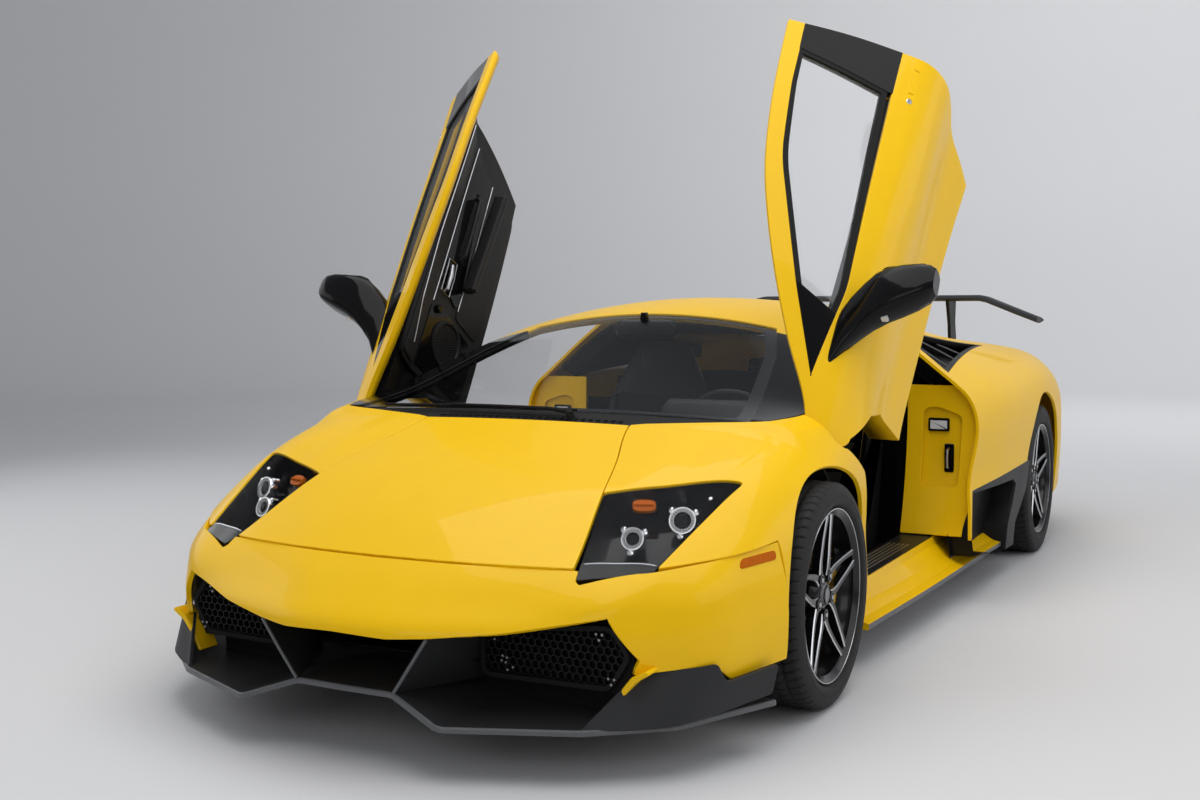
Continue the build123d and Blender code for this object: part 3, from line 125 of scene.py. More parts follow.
# ------------------------------------------------------------------ curves through a table
def monotone(x, xs, ys):
    """Cubic through the points (xs, ys) that never overshoots them, at the places x."""
    xs, ys = np.asarray(xs, float), np.asarray(ys, float)
    h = np.diff(xs)
    d = np.diff(ys) / h
    m = np.zeros_like(ys)
    m[0], m[-1] = d[0], d[-1]
    same = d[:-1] * d[1:] > 0
    w1, w2 = 2 * h[1:] + h[:-1], h[1:] + 2 * h[:-1]
    with np.errstate(divide="ignore", invalid="ignore"):
        mean = (w1 + w2) / (w1 / d[:-1] + w2 / d[1:])
    m[1:-1] = np.where(same, mean, 0)
    k = np.clip(np.searchsorted(xs, x) - 1, 0, len(h) - 1)
    t = np.clip((x - xs[k]) / h[k], 0, 1)
    a, b = ys[k], ys[k + 1]
    return (
        a * (2 * t**3 - 3 * t**2 + 1)
        + h[k] * m[k] * (t**3 - 2 * t**2 + t)
        + b * (3 * t**2 - 2 * t**3)
        + h[k] * m[k + 1] * (t**3 - t**2)
    )


def eased(values, sigma, step):
    """Values on an even grid, blurred along it, with their ends' slopes kept."""
    reach = int(3 * sigma / step)
    if reach < 1 or len(values) < reach + 2:
        return values
    kernel = np.exp(-0.5 * (np.arange(-reach, reach + 1) * step / sigma) ** 2)
    kernel /= kernel.sum()
    head = 2 * values[0] - values[reach:0:-1]
    tail = 2 * values[-1] - values[-2 : -reach - 2 : -1]
    return np.convolve(np.concatenate([head, values, tail]), kernel, "valid")


class Skin:
    """Half a skin drawn from a table of open lines of six corners, eased along and rounded across."""

    STEP = 5.0

    def __init__(self, rows, rounding, bulge, sigma, breaks=()):
        self.rounding, self.bulge = rounding, bulge
        levels = [row[0] for row in rows]
        self.grid = np.arange(levels[0], levels[-1] + self.STEP, self.STEP)
        columns = np.array([[v for pair in row[1:] for v in pair] for row in rows], float)
        spans = np.split(np.arange(len(self.grid)), [int((b - levels[0]) / self.STEP) for b in breaks])
        self.table = np.zeros((len(self.grid), columns.shape[1]))
        for j in range(columns.shape[1]):
            line = monotone(self.grid, levels, columns[:, j])
            parts = [eased(line[s], sigma, self.STEP) if len(s) > 30 else line[s] for s in spans]
            self.table[:, j] = np.concatenate(parts) if j < 4 and breaks else eased(
                line, sigma, self.STEP
            )

    def corners(self, v):
        """The corners at levels v, as an array (len(v), corners, 2)."""
        flat = [np.interp(v, self.grid, self.table[:, j]) for j in range(self.table.shape[1])]
        return np.stack(flat, 1).reshape(len(v), -1, 2)

    def across(self, v, s):
        """The point at each level v and place s along the rounded line, in the section's own plane."""
        v, s = np.atleast_1d(v).astype(float), np.atleast_1d(s).astype(float)
        c = self.corners(v)
        runs = c[:, 1:] - c[:, :-1]
        size = np.linalg.norm(runs, axis=2)
        unit = runs / size[..., None]
        last = c.shape[1] - 2
        k = np.clip(np.floor(s).astype(int), 0, last)
        i = np.arange(len(v))
        u = s - k
        point = c[i, k] + u[:, None] * runs[i, k]
        for near, sign in ((k, 1), (k + 1, -1)):
            inner = (near > 0) & (near <= last)
            n = np.clip(near, 1, last)
            back = np.minimum(
                np.array(self.rounding)[n], 0.45 * np.minimum(size[i, n - 1], size[i, n])
            )
            away = np.where(sign > 0, u * size[i, k], -(1 - u) * size[i, k])
            hit = inner & (np.abs(away) < back)
            t = 0.5 + 0.5 * away / np.maximum(back, 1e-6)
            a = c[i, n] - back[:, None] * unit[i, n - 1]
            b = c[i, n] + back[:, None] * unit[i, n]
            t = t[:, None]
            curve = (1 - t) ** 2 * a + 2 * t * (1 - t) * c[i, n] + t**2 * b
            point = np.where(hit[:, None], curve, point)
        normal = np.stack([-unit[i, k, 1], unit[i, k, 0]], 1)
        rise = np.array(self.bulge)[k] * size[i, k] * np.sin(pi * np.clip(u, 0, 1)) ** 2
        return point + rise[:, None] * normal

    def place(self, v, value, axis, low=0.0, high=5.0):
        """Where along the line a coordinate reaches a value, at each level v."""
        s = np.linspace(low, high, 301)
        found = []
        for level, want in zip(np.atleast_1d(v), np.atleast_1d(value)):
            line = self.across(np.full(len(s), level), s)[:, axis]
            if line[-1] < line[0]:
                line = -line
                want = -want
            line = np.maximum.accumulate(line)
            found.append(np.interp(want, line, s))
        return np.array(found)


BODY = Skin(
    [(row[0], *row[2:]) for row in BODY_SECTIONS], BODY_ROUNDING, BODY_BULGE, 55, (-1430, -1335)
)
NOSE = Skin(NOSE_SECTIONS, NOSE_ROUNDING, (0,) * 5, 14)
CROWN = eased(
    monotone(BODY.grid, [r[0] for r in BODY_SECTIONS], [r[1] for r in BODY_SECTIONS]), 55, Skin.STEP
)


def side_skin(y, s):
    """Points of the body's left side, in mm."""
    p = BODY.across(y, s)
    return np.stack([p[:, 0], y, p[:, 1]], 1)


def nose_skin(z, t):
    """Points of the nose, in mm; t runs from -5 at the right arch to 5 at the left one."""
    p = NOSE.across(z, np.abs(t))
    return np.stack([p[:, 0] * np.where(t < 0, -1, 1), p[:, 1], z], 1)


def crown_skin(x, y):
    """Points of the body's middle under the crown, from plan coordinates in mm."""
    edge = BODY.corners(y)[:, EDGE]
    top = np.interp(y, BODY.grid, CROWN)
    return np.stack([x, y, top - (top - edge[:, 1]) * (x / edge[:, 0]) ** 2], 1)


def edge_x(y):
    """Half width between the body's edge lines at y."""
    return float(BODY.corners(np.array([float(y)]))[0, EDGE, 0])


def spot(surface, a, b):
    """One point of a surface."""
    return surface(np.array([float(a)]), np.array([float(b)]))[0]


# ------------------------------------------------------------------ outlines
def rect(x0, x1, y0, y1):
    """A rectangle, anticlockwise from its low corner."""
    return ((x0, y0), (x1, y0), (x1, y1), (x0, y1))


def trapeze(low_half, low, high_half, high):
    """A symmetrical outline between two levels."""
    return ((-low_half, low), (low_half, low), (high_half, high), (-high_half, high))


def mirrored_plan(half):
    """A plan outline over both sides, from its left half that starts on the centre line."""
    return [*half, *[(-x, y) for x, y in half[:0:-1]]]


def arc(radius, angles):
    """Points about the origin at the given angles."""
    return [(radius * cos(a), radius * sin(a)) for a in angles]


def dense(loop, step=12.0):
    """A closed outline with points added so that none of its runs is longer than the step."""
    points = [np.array(p, float) for p in loop]
    out = []
    for a, b in zip(points, points[1:] + points[:1]):
        n = max(1, int(np.ceil(np.linalg.norm(b - a) / step)))
        out += [a + (b - a) * i / n for i in range(n)]
    return np.array(out)


def rounded(loop, radius, steps=5):
    """A closed outline with its corners rounded by about a radius."""
    points = [np.array(p, float) for p in loop]
    radii = radius if hasattr(radius, "__len__") else [radius] * len(points)
    out = []
    for i, p in enumerate(points):
        before, after = points[i - 1], points[(i + 1) % len(points)]
        a, b = before - p, after - p
        la, lb = np.linalg.norm(a), np.linalg.norm(b)
        back = min(radii[i], 0.45 * la, 0.45 * lb)
        if back < 0.5:
            out.append(p)
            continue
        a, b = p + a / la * back, p + b / lb * back
        for j in range(steps + 1):
            t = j / steps
            out.append((1 - t) ** 2 * a + 2 * t * (1 - t) * p + t**2 * b)
    return out


def area_of(loop):
    """Area inside a closed outline, negative where it runs clockwise."""
    x, y = loop[:, 0], loop[:, 1]
    return 0.5 * float(np.sum(x * np.roll(y, -1) - y * np.roll(x, -1)))


def grown(loop, amount):
    """A closed outline moved outwards by an amount."""
    p = np.array(loop, float)
    turn = 1 if area_of(p) > 0 else -1
    before, after = p - np.roll(p, 1, 0), np.roll(p, -1, 0) - p

    def normal(run):
        size = np.linalg.norm(run, axis=1)[:, None]
        return turn * np.stack([run[:, 1], -run[:, 0]], 1) / np.maximum(size, 1e-9)

    n = normal(before) + normal(after)
    size = np.maximum(np.sum(n * n, 1)[:, None], 0.3)
    return p + 2 * amount * n / size


def inside(points, loops):
    """Which points lie in the area of the loops, by the even-odd rule."""
    hit = np.zeros(len(points), bool)
    x, y = points[:, 0], points[:, 1]
    for loop in loops:
        for (x0, y0), (x1, y1) in zip(loop, np.roll(loop, -1, 0)):
            if y0 == y1:
                continue
            crosses = ((y0 > y) != (y1 > y)) & (x < (x1 - x0) * (y - y0) / (y1 - y0) + x0)
            hit ^= crosses
    return hit


def clearance(points, loops):
    """Distance of each point from the nearest run of the loops."""
    best = np.full(len(points), 1e9)
    for loop in loops:
        for a, b in zip(loop, np.roll(loop, -1, 0)):
            run = b - a
            size = max(float(run @ run), 1e-12)
            t = np.clip(((points - a) @ run) / size, 0, 1)
            best = np.minimum(best, np.linalg.norm(points - a - t[:, None] * run, axis=1))
    return best


# ------------------------------------------------------------------ meshes
FLIP = np.array([-1.0, 1, 1])  # from the car's left to its right
SHARP_ANGLE = radians(35)


class Build:
    """Vertices with normals, and faces with material numbers, gathered into one mesh."""

    def __init__(self):
        self.points, self.normals, self.faces, self.paint = [], [], [], []

    def add(self, points, faces, normals=None, paint=0):
        """Adds vertices and faces; the normals are left to the mesh where none are given."""
        base = sum(len(p) for p in self.points)
        points = np.asarray(points, float)
        self.points.append(points)
        self.normals.append(
            np.full((len(points), 3), np.nan) if normals is None else np.asarray(normals, float)
        )
        self.faces += [tuple(base + i for i in f) for f in faces]
        self.paint += [paint] * len(faces)

    def mirror(self):
        """Adds the right-hand copy of everything so far."""
        self.take(self.mirrored())

    def mirrored(self):
        """A right-hand copy as a build of its own."""
        copy = Build()
        copy.points = [np.concatenate(self.points) * FLIP]
        copy.normals = [np.concatenate(self.normals) * FLIP]
        copy.faces = [f[::-1] for f in self.faces]
        copy.paint = list(self.paint)
        return copy

    def turned(self, angle, y, z):
        """A copy turned about a line across the car, as a door about its hinge."""
        c, s = cos(angle), sin(angle)
        turn = np.array([[1, 0, 0], [0, c, -s], [0, s, c]])
        pivot = np.array([0, y, z], float)
        return self.moved(turn, pivot - turn @ pivot)

    def moved(self, turn, shift):
        """A copy turned by a matrix and shifted."""
        copy = Build()
        turn = np.array(turn, float)
        copy.points = [np.concatenate(self.points) @ turn.T + np.array(shift, float)]
        copy.normals = [np.concatenate(self.normals) @ turn.T]
        copy.faces, copy.paint = list(self.faces), list(self.paint)
        return copy

    def take(self, other):
        """Adds all of another build."""
        base = sum(len(p) for p in self.points)
        self.points += other.points
        self.normals += other.normals
        self.faces += [tuple(base + i for i in f) for f in other.faces]
        self.paint += other.paint

    def made(self, name, materials):
        """The finished object, in metres."""
        mesh = bpy.data.meshes.new(name)
        points = np.concatenate(self.points) * MM
        mesh.from_pydata(points.tolist(), [], self.faces)
        for m in materials:
            mesh.materials.append(m)
        mesh.polygons.foreach_set("material_index", self.paint)
        mesh.polygons.foreach_set("use_smooth", [True] * len(self.faces))
        mesh.validate()
        normals = np.concatenate(self.normals)
        mesh.set_sharp_from_angle(angle=SHARP_ANGLE)
        if not np.isnan(normals).all():
            auto = np.array([n.vector for n in mesh.corner_normals], float)
            ids = np.zeros(len(mesh.loops), int)
            mesh.loops.foreach_get("vertex_index", ids)
            given = normals[ids]
            mesh.normals_split_custom_set(np.where(np.isnan(given), auto, given).tolist())
        thing = bpy.data.objects.new(name, mesh)
        bpy.context.scene.collection.objects.link(thing)
        return thing


def place(build, name, looks, body, slot, *nodes):
    """Makes a piece with its finishes, puts it on its body and hides the nodes it replaces; the slot is
    not used.
    """
    thing = build.made(name, coats(*looks.split()))
    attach(thing, body)
    if nodes:
        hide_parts(*nodes)


ROLL_STEPS = 3


def gradient(surface, a, b):
    """Unit normals of a surface given by two coordinates, from small steps."""
    ea, eb = 1.0, 1e-3 if np.max(np.abs(b)) < 20 else 1.0
    da = surface(a + ea, b) - surface(a - ea, b)
    db = surface(a, b + eb) - surface(a, b - eb)
    n = np.cross(da, db)
    return n / np.maximum(np.linalg.norm(n, axis=1)[:, None], 1e-12)


def panel(
    build, surface, keep, cut=(), stretch=1.0, step=14.0, wall=12.0, roll=2.0, outward=(0, 0, 1), paint=0,
    inner_paint=0, rear=None, edge_paint=None
):
    """Adds the part of a surface that lies in all the keep loops and in none of the cut loops.

    The loops are in the surface's two coordinates, of which stretch turns the second into mm. The
    edges are rolled over, wall is the depth behind the outer face, outward is roughly where that
    face looks, and rear may give the inner face from the outer points and their coordinates.
    """
    keep = [np.array(loop, float) * (1, stretch) for loop in keep]
    cut = [np.array(loop, float) * (1, stretch) for loop in cut]
    every = keep + cut

    def wanted(points):
        hit = np.ones(len(points), bool)
        for loop in keep:
            hit &= inside(points, [loop])
        for loop in cut:
            hit &= ~inside(points, [loop])
        return hit

    low = np.max([loop.min(0) for loop in keep], 0)
    high = np.min([loop.max(0) for loop in keep], 0)
    along = np.arange(low[0] + step / 2, high[0], step)
    across = np.arange(low[1] + step / 2, high[1], step)
    grid = np.stack(np.meshgrid(along, across), -1).reshape(-1, 2)
    grid = grid[wanted(grid)]
    grid = grid[clearance(grid, every) > 0.5 * step]
    edges, start = [], 0
    for loop in every:
        edges += [(start + i, start + (i + 1) % len(loop)) for i in range(len(loop))]
        start += len(loop)
    everything = [Vector(p) for p in np.concatenate([*every, grid])]
    verts, _, tris, _, _, _ = delaunay_2d_cdt(everything, edges, [], 0, 0.2)
    verts = np.array([v[:] for v in verts])
    tris = np.array([t for t in tris if len(t) == 3])
    tris = tris[wanted(verts[tris].mean(1))]
    p0, p1, p2 = verts[tris[:, 0]], verts[tris[:, 1]], verts[tris[:, 2]]
    area = (p1 - p0)[:, 0] * (p2 - p0)[:, 1] - (p1 - p0)[:, 1] * (p2 - p0)[:, 0]
    tris[area < 0] = tris[area < 0][:, ::-1]
    tris = largest(tris[np.abs(area) > 1e-4])
    used, tris = np.unique(tris, return_inverse=True)
    verts, tris = verts[used], tris.reshape(-1, 3)
    a, b = verts[:, 0], verts[:, 1] / stretch
    points, normals = surface(a, b), gradient(surface, a, b)
    if normals.sum(0) @ np.array(outward, float) < 0:
        normals = -normals
    p0, p1, p2 = points[tris[:, 0]], points[tris[:, 1]], points[tris[:, 2]]
    same_way = np.sum(np.cross(p1 - p0, p2 - p0) * normals[tris[:, 0]], 1).sum() > 0
    faces = tris if same_way else tris[:, ::-1]
    build.add(points, faces.tolist(), normals, paint)
    back = rear(points, a, b) if rear else points - normals * wall
    build.add(back, faces[:, ::-1].tolist(), None, inner_paint)
    for ring in rims(tris):
        p, n = points[ring], normals[ring]
        out = np.cross(np.roll(p, -1, 0) - np.roll(p, 1, 0), n)
        out = out if same_way else -out
        out /= np.maximum(np.linalg.norm(out, axis=1)[:, None], 1e-9)
        rows, row_normals = [p], [n]
        for k in range(1, ROLL_STEPS + 1):
            turn = pi / 2 * k / ROLL_STEPS
            rows.append(p + roll * (sin(turn) * out + (cos(turn) - 1) * n))
            row_normals.append(cos(turn) * n + sin(turn) * out)
        rows += [p + roll * out - min(wall, 14.0) * n, back[ring]]
        row_normals += [out, -n]
        build.add(
            np.concatenate(rows), ladder(len(ring), len(rows), same_way), np.concatenate(row_normals),
            paint if edge_paint is None else edge_paint
        )
    return build


def ladder(count, rows, flip=False, close=True):
    """Quads between rows of points that each go round a ring of a count."""
    faces = []
    for r in range(rows - 1):
        for i in range(count if close else count - 1):
            j = (i + 1) % count
            quad = (r * count + i, (r + 1) * count + i, (r + 1) * count + j, r * count + j)
            faces.append(quad if flip else quad[::-1])
    return faces


def rims(tris):
    """The rings of edges that only one triangle has, in the triangles' own sense."""
    edges = {(t[i], t[(i + 1) % 3]) for t in tris.tolist() for i in range(3)}
    follow = {}
    for a, b in edges:
        if (b, a) not in edges:
            follow.setdefault(a, []).append(b)
    rings = []
    while follow:
        start = next(iter(follow))
        ring = [start]
        while True:
            ends = follow[ring[-1]]
            nxt = ends.pop()
            if not ends:
                del follow[ring[-1]]
            if nxt == start:
                break
            ring.append(nxt)
        if len(ring) > 3:
            rings.append(ring)
    return rings


def largest(tris):
    """The triangles of the largest connected patch."""
    parent = np.arange(tris.max() + 1)
    while True:
        low = parent[tris].min(1)
        fresh = parent.copy()
        for column in tris.T:
            np.minimum.at(fresh, column, low)
        fresh = fresh[fresh]
        if (fresh == parent).all():
            break
        parent = fresh
    label = parent[tris[:, 0]]
    names, counts = np.unique(label, return_counts=True)
    return tris[label == names[counts.argmax()]]


# ------------------------------------------------------------------ simple solids
AXES = {"xy": (0, 1, 2), "yz": (1, 2, 0), "xz": (0, 2, 1)}
TIP = 0.1  # radius where a turned profile ends at its axis


def prism(build, outline, plane, low, high, bevel=1.5, paint=0, side_paint=None):
    """A straight piece with bevelled ends on a closed outline in a plane, between two levels."""
    p = np.array(outline, float)
    if area_of(p) < 0:
        p = p[::-1]
    low, high = min(low, high), max(low, high)
    inner, n = grown(p, -bevel), len(p)
    points = np.zeros((4 * n, 3))
    first, second, third = AXES[plane]
    for i, (row, level) in enumerate(((inner, low), (p, low + bevel), (p, high - bevel), (inner, high))):
        points[i * n : (i + 1) * n, first] = row[:, 0]
        points[i * n : (i + 1) * n, second] = row[:, 1]
        points[i * n : (i + 1) * n, third] = level
    sides, ends = ladder(n, 4), [tuple(range(n))[::-1], tuple(range(3 * n, 4 * n))]
    if plane == "xz":
        sides, ends = [f[::-1] for f in sides], [f[::-1] for f in ends]
    build.add(points, sides, None, paint if side_paint is None else side_paint)
    build.add(points, ends, None, paint)


def box(build, x, y, z, bevel=2.0, paint=0):
    """A box with bevelled edges."""
    prism(
        build, rounded([(x[0], y[0]), (x[1], y[0]), (x[1], y[1]), (x[0], y[1])], bevel, 1), "xy", *z,
        bevel, paint
    )


def loft(build, rings, paint=0, caps=True):
    """A skin over rings of equal count; the rings rise anticlockwise."""
    rings = [np.asarray(r, float) for r in rings]
    n = len(rings[0])
    faces = ladder(n, len(rings))
    if caps:
        faces += [tuple(range(n))[::-1], tuple(range((len(rings) - 1) * n, len(rings) * n))]
    build.add(np.concatenate(rings), faces, None, paint)


def lathe(build, profile, centre, count=64, paint=0, closed=True, turn=None):
    """A turned piece from a profile of (along, radius); it turns about x unless turned by a matrix."""
    p = np.array(profile, float)
    if closed and area_of(p) > 0:
        p = p[::-1]
    if closed:
        p = np.concatenate([p, p[:1]])
    angle = np.linspace(0, 2 * pi, count, endpoint=False)
    rows = [np.stack([np.full(count, a), r * np.cos(angle), r * np.sin(angle)], 1) for a, r in p]
    points = np.concatenate(rows)
    if turn is not None:
        points = points @ np.array(turn).T
    build.add(points + np.array(centre, float), ladder(count, len(rows)), None, paint)


def pin(low, high, top, foot):
    """Profile of a round pin with its top's and its foot's radius."""
    return [(low, TIP), (high, TIP), (high, top), (low, foot)]


def stud(low, high, top, radius, chamfer):
    """Profile of a round stud with a chamfered top."""
    return [(low, TIP), (high, TIP), (high, top), (high - chamfer, radius), (low, radius)]


def about(centre, turn, along, radius, angle):
    """A point beside a turned axis, at a place along it, a radius and an angle."""
    return centre + turn @ np.array((along, radius * cos(angle), radius * sin(angle)))


def tube(build, line, radius, sides=10, paint=0, close=False):
    """A round bar along a line."""
    p = np.array(line, float)
    run = np.gradient(p, axis=0) if not close else np.roll(p, -1, 0) - np.roll(p, 1, 0)
    run /= np.linalg.norm(run, axis=1)[:, None]
    radii = np.broadcast_to(np.asarray(radius, float), len(p))
    side = np.cross(run[0], (0.31, 0.17, 0.93))
    rings = []
    angle = np.linspace(0, 2 * pi, sides, endpoint=False)
    for place, direction, r in zip(p, run, radii):
        side = side - direction * (side @ direction)
        side /= np.linalg.norm(side)
        up = np.cross(direction, side)
        rings.append(place + r * (np.cos(angle)[:, None] * side + np.sin(angle)[:, None] * up))
    if close:
        rings.append(rings[0])
    loft(build, rings, paint, caps=not close)


def facing(direction, up=(0, 0, 1)):
    """Matrix whose first column is a direction, to aim a lathe."""
    a = np.array(direction, float) / np.linalg.norm(direction)
    b = np.cross(up, a)
    b /= np.linalg.norm(b)
    return np.stack([a, b, np.cross(a, b)], 1)


# ------------------------------------------------------------------ areas on the skins
OFF_EDGE = 0.3  # how far a cut area reaches past the skin's own border


def on_side(points, axis):
    """Maps a line of (x, y) or (y, z) points to the side skin's (y, s)."""
    p = np.asarray(points, float)
    y, want = (p[:, 1], p[:, 0]) if axis == 0 else (p[:, 0], p[:, 1])
    s = BODY.place(y, want, axis, 0, 2.6 if axis == 0 else 5)
    first = BODY.across(y, np.zeros(len(y)))[:, axis]
    last = BODY.across(y, np.full(len(y), 5.0))[:, axis]
    if axis == 0:
        s[want < first] = -OFF_EDGE
    else:
        s[want > first] = -OFF_EDGE
        s[want < last] = 5 + OFF_EDGE
    return np.stack([y, s], 1)


def from_plan(loop):
    """A closed plan outline on the side skin."""
    return on_side(dense(loop, 10), 0)


def from_side(loop):
    """A closed side-view outline on the side skin."""
    return on_side(dense(loop, 10), 1)


def circle(centre, radius, count=96):
    """A round outline."""
    turn = np.linspace(0, 2 * pi, count, endpoint=False)
    return np.stack([centre[0] + radius * np.cos(turn), centre[1] + radius * np.sin(turn)], 1)


def span(start, end, low):
    """The side skin's area between two places along it, from a low run to the sill."""
    return dense(rect(start, end, low * SKIN_STRETCH, 5 * SKIN_STRETCH), 12) / (1, SKIN_STRETCH)


def door_loop(gap):
    """Side view of the shut door in (y, z), grown by a gap."""
    reach, foot = DOOR_REACH + gap, DOOR_FOOT + gap
    hinge = np.array(HINGE, float)
    low, top = DOOR_LOW - gap, 1300
    first = asin((low - HINGE[1]) / reach)
    last = asin((top - HINGE[1]) / reach)
    rear = [hinge + reach * np.array((cos(t), sin(t))) for t in np.linspace(first, last, 60)]
    round_foot = [hinge + foot * np.array((cos(t), sin(t))) for t in np.linspace(pi, 1.5 * pi, 12)]
    front = [(-1020 - gap, 622), (-938 - gap, 480), (-905 - gap, low)]
    return [*rear, (HINGE[0] - foot, top), *round_foot, *front]


SKIN_STRETCH = 190  # mm of skin for each of the section's runs
NOSE_STRETCH = 190
SHUT = 2.5  # half a shut line, at the foot of its rolled edges
SEAM = 1.0  # half a fixed seam
ROLL = 2.2


def side_panel(build, keep, cut, **more):
    """A panel of the car's left side."""
    return panel(
        build, side_skin, keep, cut, stretch=SKIN_STRETCH, outward=(1, 0, 0.6), roll=ROLL, **more
    )


def lowered(surface, drop):
    """A surface that lies a drop behind another."""
    return lambda a, b: surface(a, b) - drop * outer_normal(surface, a, b)


def outer_normal(surface, a, b):
    """Unit normals that look outwards."""
    n = gradient(surface, a, b)
    return n if surface is not side_skin else n * np.sign(np.sum(n * (1, 0, 0.6), 1))[:, None]


def sunk_panel(build, drop, keep, cut=(), **more):
    """A panel that lies a drop below the car's left side."""
    sunk = lowered(side_skin, drop)
    return panel(build, sunk, keep, cut, stretch=SKIN_STRETCH, outward=(1, 0, 0.6), **more)


def crown_panel(build, keep, cut, **more):
    """A panel of the car's middle."""
    return panel(build, crown_skin, keep, cut, outward=(0, 0, 1), roll=ROLL, **more)


def middle_band(start, end, shift, count):
    """Plan area between the body's edge lines, each moved outboard by a shift."""
    line = [(edge_x(y) + shift, y) for y in np.linspace(start, end, count)]
    return dense([*line, *[(-x, y) for x, y in line[::-1]]], 14)


def edge_band(start, end, shift):
    """The middle band with a point about every 20 mm of its length."""
    return middle_band(start, end, shift, max(2, int((end - start) / 20)))


def split_band(gap, above):
    """Side-view area on one side of the bumper's split line."""
    shift = gap if above else -gap
    line = [(y, z - shift) for y, z in BUMPER_SPLIT]
    far = 1500 if above else -100
    return [*line, (BUMPER_SPLIT[-1][0], far), (BUMPER_SPLIT[0][0], far)]


# ------------------------------------------------------------------ finishes
def finish(
    name, colour, roughness, metallic=0.0, coat=0.0, specular=0.5, tone=0.05, tone_scale=9.0, smudge=0.04,
    grain=0.0, grain_scale=400.0, **sockets
):
    """A surface with slow changes of tone and gloss and a fine grain in relief."""
    mat = bpy.data.materials.new(name)
    mat.use_nodes = True
    tree = mat.node_tree
    shader = tree.nodes["Principled BSDF"]
    shader.inputs["Metallic"].default_value = metallic
    shader.inputs["Coat Weight"].default_value = coat
    shader.inputs["Specular IOR Level"].default_value = specular
    shader.inputs["Coat Roughness"].default_value = 0.03
    for socket, value in sockets.items():
        shader.inputs[socket.replace("_", " ")].default_value = value
    place = tree.nodes.new("ShaderNodeTexCoord")
    slow = tree.nodes.new("ShaderNodeTexNoise")
    slow.inputs["Scale"].default_value = tone_scale
    slow.inputs["Detail"].default_value = 4
    tree.links.new(place.outputs["Object"], slow.inputs["Vector"])
    mix = tree.nodes.new("ShaderNodeMix")
    mix.data_type = "RGBA"
    mix.inputs["A"].default_value = (*[c * (1 - tone) for c in colour], 1)
    mix.inputs["B"].default_value = (*[min(1, c * (1 + tone)) for c in colour], 1)
    tree.links.new(slow.outputs["Fac"], mix.inputs["Factor"])
    tree.links.new(mix.outputs["Result"], shader.inputs["Base Color"])
    gloss = tree.nodes.new("ShaderNodeMapRange")
    gloss.inputs["To Min"].default_value = max(0.0, roughness - smudge)
    gloss.inputs["To Max"].default_value = min(1.0, roughness + smudge)
    tree.links.new(slow.outputs["Fac"], gloss.inputs["Value"])
    tree.links.new(gloss.outputs["Result"], shader.inputs["Roughness"])
    if grain:
        fine = tree.nodes.new("ShaderNodeTexNoise")
        fine.inputs["Scale"].default_value = grain_scale
        fine.inputs["Detail"].default_value = 3
        tree.links.new(place.outputs["Object"], fine.inputs["Vector"])
        bump = tree.nodes.new("ShaderNodeBump")
        bump.inputs["Strength"].default_value = grain
        bump.inputs["Distance"].default_value = 0.0006
        tree.links.new(fine.outputs["Fac"], bump.inputs["Height"])
        tree.links.new(bump.outputs["Normal"], shader.inputs["Normal"])
    return mat


def clear(name, tint, shade, edge_on):
    """Thin clear sheet: it mirrors as glass does, and dims what lies behind, edge on by more."""
    mat = finish(name, tint, 0.02, metallic=1.0, smudge=0.01, tone=0.02)
    tree = mat.node_tree
    shader = tree.nodes["Principled BSDF"]
    rim = tree.nodes.new("ShaderNodeLayerWeight")
    steep = tree.nodes.new("ShaderNodeMath")
    steep.operation = "POWER"
    steep.inputs[1].default_value = 6.0
    reach = tree.nodes.new("ShaderNodeMapRange")
    reach.inputs["To Min"].default_value = shade
    reach.inputs["To Max"].default_value = edge_on
    tree.links.new(rim.outputs["Facing"], steep.inputs[0])
    tree.links.new(steep.outputs["Value"], reach.inputs["Value"])
    tree.links.new(reach.outputs["Result"], shader.inputs["Alpha"])
    return mat


